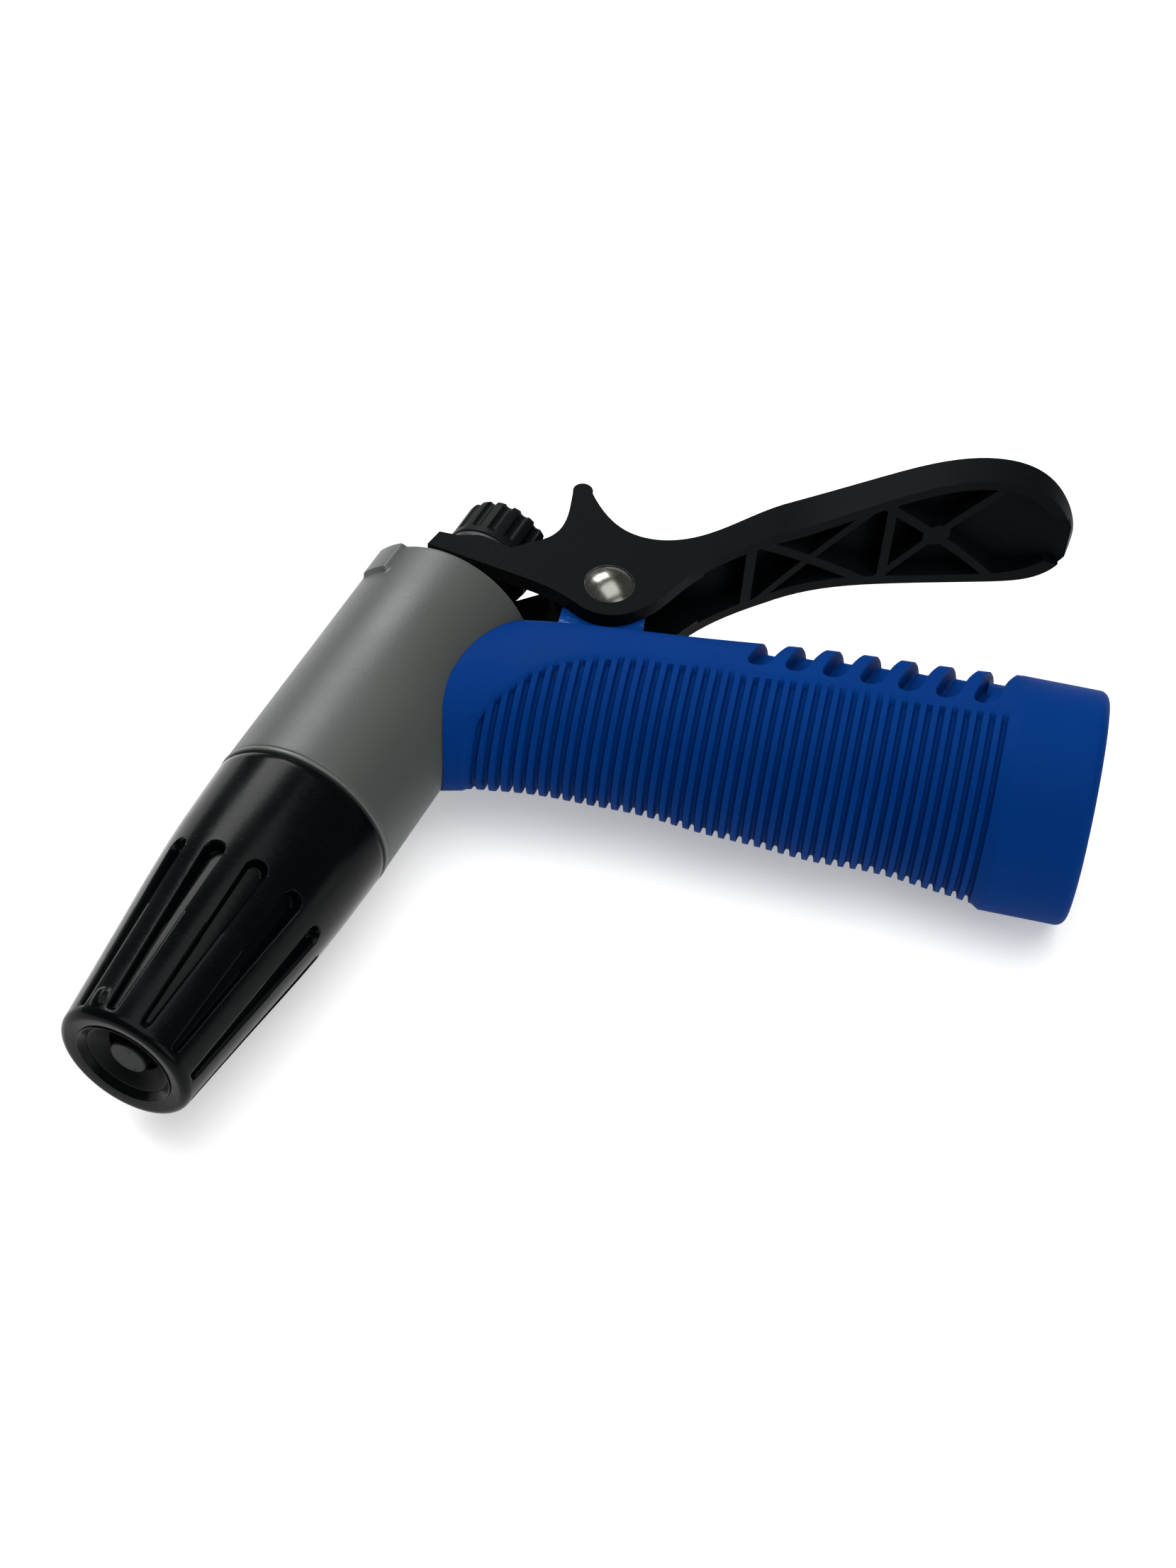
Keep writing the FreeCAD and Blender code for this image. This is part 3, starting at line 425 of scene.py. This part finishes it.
front_nozzle = grid_piece("spray_nozzle", on_barrel(nozzle_grid), crease=50.0)
nozzle_black = moulding("nozzle_black", paint(3, 5, 6), 0.2, shade_change=0.3, patch=90.0, grain=900.0,
                        grain_depth=0.012, scuffs=0.12, scuff_scale=420.0, specular=0.06)
fitted(front_nozzle, "nozzle", nozzle_black, "front_nozzle")


# ---- Spray opening and pintle -------------------------------------------------------------------------
# Black insert that makes the spray opening, and the tapered tip on the stem in the middle of it.  The
# water leaves through the ring between them, so the two are turned parts with a clean edge.

opening_radius, opening_rear_bore, throat_radius = 8.0, 6.6, 4.0
opening_rear = recess_floor - 12.0
orifice_outline = rounded([(opening_radius, opening_rear, 0.2), (opening_radius, recess_floor, 0.0),
                           (recess_radius - 1.3, recess_floor, 0.3),
                           (throat_radius + 0.8, recess_floor - 1.4, 0.4),
                           (throat_radius, recess_floor - 2.0, 0.2),
                           (throat_radius, recess_floor - 7.0, 0.2), (opening_rear_bore, opening_rear, 0.2)])
spray_opening = grid_piece("spray_opening", on_barrel(turned(orifice_outline, segments=160)))
satin_black = moulding("satin_black", paint(6, 8, 8), 0.4, shade_change=0.2, scuffs=0.1, specular=0.06)
fitted(spray_opening, "nozzle_carriage", satin_black, "spray_orifice")

pintle_radius, pintle_rear_radius, stem_hole = 3.0, 2.9, 2.05
pintle_rear, pintle_front = nozzle_front - 8.5, nozzle_front - 1.5
stem_hole_end = pintle_rear + 3.05
pintle_outline = rounded([(0.0, stem_hole_end, 0.0), (stem_hole, stem_hole_end, 0.0),
                          (stem_hole, pintle_rear, 0.1), (pintle_rear_radius, pintle_rear, 0.1),
                          (pintle_radius, pintle_front - 2.4, 0.3), (pintle_radius, pintle_front, 0.4),
                          (0.0, pintle_front, 0.0)])
pintle = grid_piece("pintle_tip", on_barrel(turned(pintle_outline, segments=96)))
pintle_black = moulding("pintle_black", paint(12, 15, 15), 0.42, shade_change=0.2, scuffs=0.25,
                        specular=0.1)
fitted(pintle, "stem", pintle_black, "spray_pintle")


# ---- Grip sleeve --------------------------------------------------------------------------------------
# Soft blue sleeve moulded over the grip's core: a plain band saddled over the barrel, fine ribs round the
# sides and underside, seven leaning notches in the crest under the trigger, and a plain round collar.

collar_radius, collar_length, collar_edge = 18.5, 14.5, 1.6
section_places = [14.0, 25.0, 35.0, 45.0, 55.0, 65.0, 75.0, 85.0, 92.0, 99.0]
section_shift = through(section_places, [0.2, 0.6, 0.5, 0.2, 0.0, -0.2, -0.4, -1.2, -2.1, -3.9])
section_half_height = through(section_places, [18.3, 17.4, 17.1, 16.8, 16.0, 15.2, 14.7, 14.8, 15.0, 15.2])
section_half_width = through(section_places, [18.3, 16.9, 16.3, 15.8, 15.0, 14.2, 13.4, 12.6, 11.7, 11.1])
rib_first, rib_pitch, rib_count, rib_depth = 15.6, 1.906, 42, 0.95
groove_half_width, groove_side, field_inset = 0.52, 0.26, 0.25
swell_height, swell_first, swell_pitch = 0.3, 21.7, 17.9
saddle_radius = shroud_radius + 0.15
cup_room, cup_floor, face_radius = 15.8, 17.5, 16.3
hand_bore, hand_bore_end, neck_bore, neck_start = 12.1, 84.0, 10.1, 86.0


def rib_top(distance):
    """Angle from the crest where the grooves end: level along the hand's side, then falling in an arc
    towards the barrel."""
    return np.radians(np.interp(distance, [15, 25, 50, 72, 80, 83, 85.5, 88, 90, 92, 93, 94],
                                [91, 90, 88, 84, 90, 93, 98, 104, 113, 120, 124, 134]))


def hand_surface(distance, turn):
    """Point of the hand part at a distance from the mouth and an angle from the crest: an ellipse, less
    the inset of the ribbed field and a groove between ribs, plus a shallow swell for each finger.
    Smoothsteps fade each of them at the distances (mm) and angles (radians) that they name."""
    below = np.abs(np.angle(np.exp(1j * turn)))
    phase = (distance - rib_first) / rib_pitch
    across_groove = np.abs(phase - np.round(phase)) * rib_pitch
    ribbed = (phase > -0.5) & (phase < rib_count - 0.5)
    groove = smoothstep((groove_half_width - across_groove) / groove_side) * ribbed
    under_top = below - rib_top(distance)
    groove = groove * smoothstep(under_top / 0.035)
    inset = field_inset * smoothstep((under_top + 0.06) / 0.05) * smoothstep((95.5 - distance) / 0.6)
    finger = np.cos(2 * math.pi * (distance - swell_first) / swell_pitch)
    swell = swell_height * finger * smoothstep((below - 2.2) / 0.7)
    swell = swell * smoothstep((94 - distance) / 4) * smoothstep((distance - 15) / 4)
    sink = rib_depth * groove + inset - swell
    height = section_half_height(distance) - sink
    width = section_half_width(distance) - sink
    return np.stack([-distance, section_shift(distance) + height * np.cos(turn), width * np.sin(turn)], -1)


def saddle_distance(turn):
    """Distance from the mouth where the hand part meets the barrel's cylinder, by stepping along it."""
    distance, furthest, stride = np.full_like(turn, 92.0), 99.5, 0.7
    for _ in range(40):
        point = hand_surface(np.minimum(distance, furthest), turn) - barrel_origin
        offset = point @ across
        reach = np.sqrt(np.maximum(saddle_radius ** 2 - point[..., 2] ** 2, 1.0))
        distance = distance + stride * (offset - reach)
    return distance


turns = np.linspace(0, 2 * math.pi, 144, endpoint=False)[None, :]
ends = saddle_distance(turns)


def ring(distance, radius):
    """Ring of points round the grip's axis, at a distance from the mouth."""
    return np.stack([-distance + 0 * turns, radius * np.cos(turns), radius * np.sin(turns)], -1)


# The rows run over the collar's face and edge, along the hand's side to the barrel, and back inside.
collar = [ring(0.0, cup_room), ring(0.0, face_radius)]
collar += [ring(collar_edge * (1 - math.sin(a)), collar_radius - collar_edge + collar_edge * math.cos(a))
           for a in np.linspace(math.pi / 2, 0, 7)]
collar += [ring(d, collar_radius) for d in np.linspace(2.4, collar_length - 1.0, 14)]
field_start, field_end = rib_first - rib_pitch / 2, rib_first + (rib_count - 0.5) * rib_pitch
groove_rows = np.arange(field_start, field_end, rib_pitch / 13)[:, None]
ribbed_rows = np.minimum(groove_rows, ends - 0.3)
plain_share = np.linspace(0, 1, 26)[1:, None]
plain_rows = ribbed_rows[-1:] + (ends - ribbed_rows[-1:]) * plain_share
outer = [hand_surface(rows, turns + 0 * rows) for rows in (ribbed_rows, plain_rows)]
inner_edge = np.stack([-ends, section_shift(ends) + neck_bore * np.cos(turns),
                       neck_bore * np.sin(turns)], -1)
inner = [ring(d, r) for d, r in ((neck_start, neck_bore), (hand_bore_end, hand_bore), (cup_floor, hand_bore),
                                 (cup_floor, cup_room), (8.0, cup_room))]
sleeve_grid = np.concatenate(collar + outer + [inner_edge] + inner)
grip_sleeve = grid_piece("ribbed_grip", sleeve_grid, crease=50.0)

notch_count, notch_first, notch_pitch = 7, 19.4, 5.82
notch_half_width, notch_lean = 1.6, math.radians(13.0)
# Depth at the crest and on the flanks, and the floor's least radius over the tube and over the socket.
notch_crest, notch_flank, flank_turn, flank_blend = 1.5, 3.0, 0.55, 0.5
notch_floor, socket_cover, socket_cover_end = 12.9, 16.4, 18.8
# Height of the ends over the grip's axis at the mouth, and its rise per millimetre towards the barrel.
notch_end, notch_rise = 1.8, 0.033
notch_fillet, chamfer, overcut = 0.5, 0.3, 0.7


def notch_cutter(distance):
    """Closed band over the crest that cuts one notch.  Its ends on the flanks are half circles, its sides
    open in a chamfer at the surface and round into a floor that is deeper on the flanks."""
    sections = section_shift, section_half_height, section_half_width
    shift, height, width = [section(distance) for section in sections]
    end_steps = 10
    end_height = notch_end + notch_rise * distance
    middle = end_height + notch_half_width
    side_turn = math.acos((middle - shift) / height)
    over = np.linspace(side_turn, -side_turn, 61)[1:-1]
    round_end = np.linspace(math.pi / 2, 0, end_steps)
    swing = np.concatenate([round_end, 0 * over, -round_end[::-1]])[:, None]
    over_turn = np.concatenate([0 * round_end, over, 0 * round_end])[:, None]
    bend = np.linspace(0, math.pi / 2, 6)
    spread = np.concatenate([[1.0, chamfer, 0.1, 0.0], -notch_fillet * (1 - np.cos(bend))])
    entry = [-overcut, 0.0, chamfer - 0.05, chamfer + 0.25]
    depth = np.concatenate([entry, notch_fillet * (np.sin(bend) - 1)])
    on_floor = np.concatenate([np.zeros(4), np.ones(6)])
    spread, depth, on_floor = [np.concatenate([row, row[::-1]]) for row in (spread, depth, on_floor)]
    side = np.repeat([1.0, -1.0], len(spread) // 2)
    reach_along = notch_half_width + spread
    low = middle - reach_along * np.sin(np.abs(swing))
    turn = np.where(swing == 0, over_turn, np.sign(swing) * np.arccos((low - shift) / height))
    turn[end_steps - 1], turn[-end_steps] = side_turn, -side_turn
    y, z = shift + height * np.cos(turn), width * np.sin(turn)
    radius = np.hypot(y, z)
    x = math.tan(notch_lean) * (y - end_height) - distance + side * reach_along * np.cos(swing)
    deeper = notch_flank - notch_crest
    sink = notch_crest + deeper * smoothstep((np.abs(turn) - flank_turn) / flank_blend)
    sink = np.minimum(sink, radius - np.where(x > -socket_cover_end, socket_cover, notch_floor))
    kept = 1 - (on_floor * sink + depth) / radius
    return np.stack([x, y * kept, z * kept], -1)


def closed_cutter(name, grids):
    """One object of several tube-shaped grids whose last rows close on a point."""
    spots, quads, start = [], [], 0
    for grid in grids:
        rows, columns = grid.shape[:2]
        index = np.arange(rows * columns).reshape(rows, columns) + start
        beside = np.roll(index, -1, 1)
        quads.append(np.stack([index[:-1], beside[:-1], beside[1:], index[1:]], -1).reshape(-1, 4))
        spots.append(grid.reshape(-1, 3) * millimetre)
        start += rows * columns
    mesh = bpy.data.meshes.new(name)
    mesh.from_pydata(np.concatenate(spots), [], np.concatenate(quads).tolist())
    return tidied(name, mesh, 30.0)


def carved(piece, cutter, crease):
    """Takes the cutter's volume out of the piece, which is a plain mesh again."""
    cut = piece.modifiers.new("cut", "BOOLEAN")
    cut.operation, cut.solver, cut.object = "DIFFERENCE", "MANIFOLD", cutter
    bpy.context.view_layer.update()
    evaluated = piece.evaluated_get(bpy.context.evaluated_depsgraph_get())
    carved_mesh = bpy.data.meshes.new_from_object(evaluated)
    piece.modifiers.clear()
    piece.data = carved_mesh
    bpy.data.objects.remove(cutter)
    carved_mesh.set_sharp_from_angle(angle=math.radians(crease))


notches = [notch_cutter(notch_first + index * notch_pitch) for index in range(notch_count)]
carved(grip_sleeve, closed_cutter("notch_cutters", notches), crease=40.0)
grip_blue = moulding("grip_blue", paint(0, 42, 102), 0.6, shade_change=0.1, patch=55.0, grain=3200.0,
                     grain_depth=0.03, scuffs=0.04, scuff_shade=paint(20, 75, 135), specular=0.02)
fitted(grip_sleeve, "body", grip_blue, "grip_sleeve")


# ---- Grip core and hose socket ------------------------------------------------------------------------
# Hard barrel and grip tube under the shroud and the sleeve, with the blue lug that carries the trigger,
# the garden hose's threaded socket pressed into the tube's mouth (a helical groove of 2.2 mm pitch), and
# the rubber washer at the socket's end.

hose_bore, hose_depth, coupler_wall, lead_in = 12.3, 13.0, 2.0, 0.9
thread_pitch, thread_depth = 25.4 / 11.5, 1.1
washer_bore, washer_radius, washer_thickness = 7.5, 14.0, 2.6


def hose_thread(r, station, angle):
    """Radius of the socket's wall: a flat-topped wave that climbs one pitch each turn, faded out at both
    ends, and only on the bore."""
    wave = np.abs((station / thread_pitch + angle / (2 * math.pi)) % 1 - 0.5) * 2
    ends = smoothstep((-lead_in - station) / 1.2) * smoothstep((station + hose_depth - 0.4) / 1.0)
    return r + thread_depth * smoothstep((wave - 0.25) / 0.45) * ends * (r < hose_bore + 0.05), angle


def out_of_mouth(points):
    """A piece turned about Z laid along the grip: its Z becomes the way out of the hose mouth."""
    return points[..., ::-1]


socket_outline = rounded([(hose_bore, -hose_depth, 0.0), (hose_bore + coupler_wall, -hose_depth, 0.2),
                          (hose_bore + coupler_wall, 0.0, 0.3), (hose_bore + lead_in, 0.0, 0.2),
                          (hose_bore, -lead_in, 0.1)])
socket_grid = turned(divided(socket_outline, spacing=0.17), segments=192, surface=hose_thread)
hose_socket = grid_piece("hose_socket", out_of_mouth(socket_grid), crease=60.0)
core_black = moulding("core_black", paint(8, 10, 11), 0.42, shade_change=0.2, scuffs=0.15, specular=0.08)
fitted(hose_socket, "body", core_black, "hose_coupler")

washer_rubber = moulding("washer_rubber", paint(22, 30, 26), 0.62, shade_change=0.15, grain=1800.0,
                         grain_depth=0.05, scuffs=0.1, specular=0.25)
washer_end = -hose_depth - washer_thickness
washer_outline = rounded([(washer_bore, washer_end, 0.5), (washer_radius, washer_end, 0.3),
                          (washer_radius, -hose_depth, 0.3), (washer_bore, -hose_depth, 0.5)], steps=7)
hose_washer = grid_piece("hose_washer_ring", out_of_mouth(turned(washer_outline, segments=128)))
fitted(hose_washer, "body", washer_rubber, "hose_washer")


def softened(node, name, width, crease=38.0):
    """A merged copy of a moulded piece, with its flat facets joined and, where a width is given, its edges
    rounded by the mould's radius."""
    work = bmesh.new()
    work.from_mesh(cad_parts[node].data)
    bmesh.ops.remove_doubles(work, verts=work.verts, dist=2e-6)
    bmesh.ops.dissolve_limit(work, angle_limit=math.radians(0.6), verts=work.verts, edges=work.edges)
    mesh = bpy.data.meshes.new(name)
    work.to_mesh(mesh)
    work.free()
    if "custom_normal" in mesh.attributes:
        mesh.attributes.remove(mesh.attributes["custom_normal"])
    mesh.shade_smooth()
    mesh.set_sharp_from_angle(angle=math.radians(crease))
    piece = bpy.data.objects.new(name, mesh)
    bpy.context.scene.collection.objects.link(piece)
    if width:
        edge = piece.modifiers.new("mould_radius", "BEVEL")
        edge.width, edge.segments, edge.limit_method = width * millimetre, 3, "ANGLE"
        edge.angle_limit, edge.use_clamp_overlap, edge.harden_normals = math.radians(crease), True, True
    return piece


for node, moulded_name in (("valve_body", "barrel_core"), ("grip_core", "grip_tube")):
    fitted(softened(node, moulded_name, 0.3), "body", core_black, node)

lug_blue = moulding("lug_blue", paint(2, 58, 128), 0.22, shade_change=0.15, grain=1500.0, grain_depth=0.03,
                    scuffs=0.5, scuff_scale=500.0, scuff_shade=paint(70, 120, 170), specular=0.5)
fitted(softened("pivot_lug", "trigger_lug", 0.4), "body", lug_blue, "pivot_lug")


# ---- Trigger ------------------------------------------------------------------------------------------
# Satin black moulded lever: two cheeks on the rivet, a fork round the stem, a horn, and a long paddle that
# is hollow underneath with crossed stiffeners.

lever_black = moulding("lever_black", paint(7, 10, 12), 0.55, shade_change=0.2, patch=60.0, grain=2300.0,
                       grain_depth=0.04, scuffs=0.12, scuff_scale=300.0, specular=0.03)
fitted(softened("trigger_lever", "trigger_lever_moulding", 0.45), "trigger", lever_black,
       "trigger_lever")


# ---- Rivet --------------------------------------------------------------------------------------------
# Nickel-plated steel rivet through the cheeks, with a low domed head on both sides.  Turned: the shank and
# both heads are one outline.

pivot = np.array([-80.2, 20.1, 0.0])
rivet_radius, head_radius, head_height, cheek = 2.4, 4.0, 1.7, 8.0
under_head = cheek + 0.02
dome_radius = (head_radius ** 2 + head_height ** 2) / (2 * head_height)
dome_turn = np.linspace(0, math.asin(head_radius / dome_radius), 24)
dome_height = cheek + head_height - dome_radius * (1 - np.cos(dome_turn))
dome = np.stack([dome_radius * np.sin(dome_turn), dome_height], -1)
upper = np.concatenate([dome, [(head_radius, under_head), (rivet_radius, under_head)]])
rivet_grid = turned(np.concatenate([upper, upper[::-1] * [1, -1]]), segments=128)
rivet = grid_piece("rivet_domed", pivot + rivet_grid)
nickel = moulding("nickel", paint(108, 108, 102), 0.24, shade_change=0.1, patch=900.0, grain=1200.0,
                  grain_depth=0.01, scuffs=0.06, scuff_scale=900.0, scuff_shade=paint(120, 118, 112),
                  metallic=1.0)
fitted(rivet, "trigger", nickel, "pivot_rivet")


# ---- Adjusting knob, stem and packing -----------------------------------------------------------------
# Black knob with sixteen round flutes and a brass insert, screwed on the steel stem, and the hexagon nut
# that squeezes the stem's packing.  The small metal and rubber pieces inside keep their solids' shapes.

knob_end, knob_length, knob_radius, insert_radius = -35.03, 8.2, 7.6, 3.6
knob_front, insert_hole = knob_end + knob_length, insert_radius + 0.05
knob_flutes, flute_radius, flute_offset, flute_length, flute_run_out = 16, 0.95, 0.35, 7.0, 0.8
dish_depth, dish_rim, fluted_skin = 1.2, 2.6, 1.6


def knob_skin(r, station, angle):
    """Radius of the knob: the outline's, less round flutes that stop short of the front edge."""
    sector = 2 * math.pi / knob_flutes
    beside = (angle + sector / 2) % sector - sector / 2
    centre_reach = knob_radius + flute_offset
    root = np.clip(flute_radius ** 2 - (centre_reach * np.sin(beside)) ** 2, 0, None)
    depth = np.where(root > 0, knob_radius - centre_reach * np.cos(beside) + np.sqrt(root), 0)
    along = smoothstep((knob_end + flute_length - station) / flute_run_out)
    return r - np.clip(depth, 0, 1) * along * (r > knob_radius - fluted_skin), angle


knob_outline = rounded([(insert_hole, knob_end + dish_depth, 0.1), (knob_radius - dish_rim, knob_end, 0.3),
                        (knob_radius, knob_end, 1.5), (knob_radius, knob_front, 0.5),
                        (insert_hole, knob_front, 0.1)], steps=9)
knob_grid = turned(divided(knob_outline, spacing=0.3), segments=24 * knob_flutes, surface=knob_skin)
knob = grid_piece("fluted_knob", on_barrel(knob_grid), crease=50.0)
knob_black = moulding("knob_black", paint(8, 11, 12), 0.45, shade_change=0.2, grain=2000.0, scuffs=0.2,
                      specular=0.05)
fitted(knob, "knob", knob_black, "adjusting_knob")

brass = moulding("brass", paint(178, 140, 70), 0.3, shade_change=0.15, scuffs=0.2, metallic=1.0)
steel = moulding("stem_steel", paint(150, 150, 148), 0.28, shade_change=0.1, scuffs=0.2, metallic=1.0)
blackened_steel = moulding("blackened_steel", paint(52, 52, 54), 0.5, shade_change=0.15, scuffs=0.2,
                           metallic=1.0)
seal_rubber = moulding("seal_rubber", paint(22, 22, 23), 0.6, shade_change=0.1, scuffs=0.05, specular=0.25)
for node, finish in (("knob_insert", brass), ("packing_nut", brass), ("valve_stem", steel),
                     ("thrust_washer", blackened_steel), ("poppet_clip", steel),
                     ("poppet_washer", brass), ("spring_seat", steel), ("packing_washer", brass),
                     ("valve_seat", brass), ("pivot_bush", steel), ("poppet_seal", seal_rubber),
                     ("stem_packing", seal_rubber), ("nozzle_o_ring", seal_rubber)):
    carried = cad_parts[node]
    carried.data.materials.clear()
    carried.data.materials.append(finish)


# ---- Return spring ------------------------------------------------------------------------------------
# Steel coil between the rear wall and the poppet's washer.  On the nozzle it pushes the stem forward and
# shortens by the stem's whole travel when the trigger is squeezed; here it is a copy of its solid at rest.

coil = softened("return_spring", "spring_coil", 0.0)
fitted(coil, "body", steel, "return_spring")
coil_points = np.empty(3 * len(coil.data.vertices))
coil.data.vertices.foreach_get("co", coil_points)
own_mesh(coil)


# ---- Floor, lights and camera -------------------------------------------------------------------------
# Plain white floor that glows a little, so that it comes out white, and soft studio light: a key light on
# the trigger's side beyond the barrel, a broad light overhead, and a weak fill beyond the hose mouth.

lowest = min(point.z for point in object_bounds())
bpy.ops.mesh.primitive_plane_add(size=6.0, location=(0, 0, lowest))
floor = bpy.context.object
floor.name = "studio_floor"
studio_white = moulding("studio_white", paint(245, 245, 245), 0.7, shade_change=0.01, scuffs=0.0,
                        specular=0.1)
floor.data.materials.append(studio_white)
floor_shader = studio_white.node_tree.nodes["Principled BSDF"]
floor_shader.inputs["Emission Color"].default_value = (1, 1, 1, 1)
floor_shader.inputs["Emission Strength"].default_value = 0.3
floor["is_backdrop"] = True

centre = Vector((-0.07, -0.012, 0.0))
for name, place, size, power in (("key", (-0.55, 0.75, 0.75), (0.7, 0.5), 14.0),
                                 ("top", (0.1, -0.1, 1.3), (1.2, 1.2), 16.0),
                                 ("fill", (0.9, -0.7, 0.6), (0.8, 0.8), 5.0)):
    light = bpy.data.lights.new(name, "AREA")
    light.shape = "RECTANGLE"
    light.size, light.size_y = size
    light.energy = power
    lamp = bpy.data.objects.new(name, light)
    lamp.location = centre + Vector(place)
    lamp.rotation_euler = (centre - lamp.location).to_track_quat("-Z", "Y").to_euler()
    bpy.context.scene.collection.objects.link(lamp)

world = bpy.data.worlds.new("studio")
world.use_nodes = True
backdrop = world.node_tree.nodes["Background"]
backdrop.inputs["Color"].default_value = (1, 1, 1, 1)
backdrop.inputs["Strength"].default_value = 0.2
bpy.context.scene.world = world
bpy.context.scene.view_settings.view_transform = "Standard"

camera_data = bpy.data.cameras.new("camera")
camera_data.sensor_width, camera_data.lens = 36.0, 73.2
camera = bpy.data.objects.new("camera", camera_data)
forward, upright = Vector((-0.0814, 0.6219, -0.7789)), Vector((-0.1946, 0.7565, 0.6244))
sideways = forward.cross(upright).normalized()
upright = sideways.cross(forward).normalized()
turn_matrix = Matrix((sideways, upright, -forward.normalized())).transposed()
camera.matrix_world = Matrix.Translation((-0.0361, -0.3198, 0.3826)) @ turn_matrix.to_4x4()
bpy.context.scene.collection.objects.link(camera)
bpy.context.scene.camera = camera
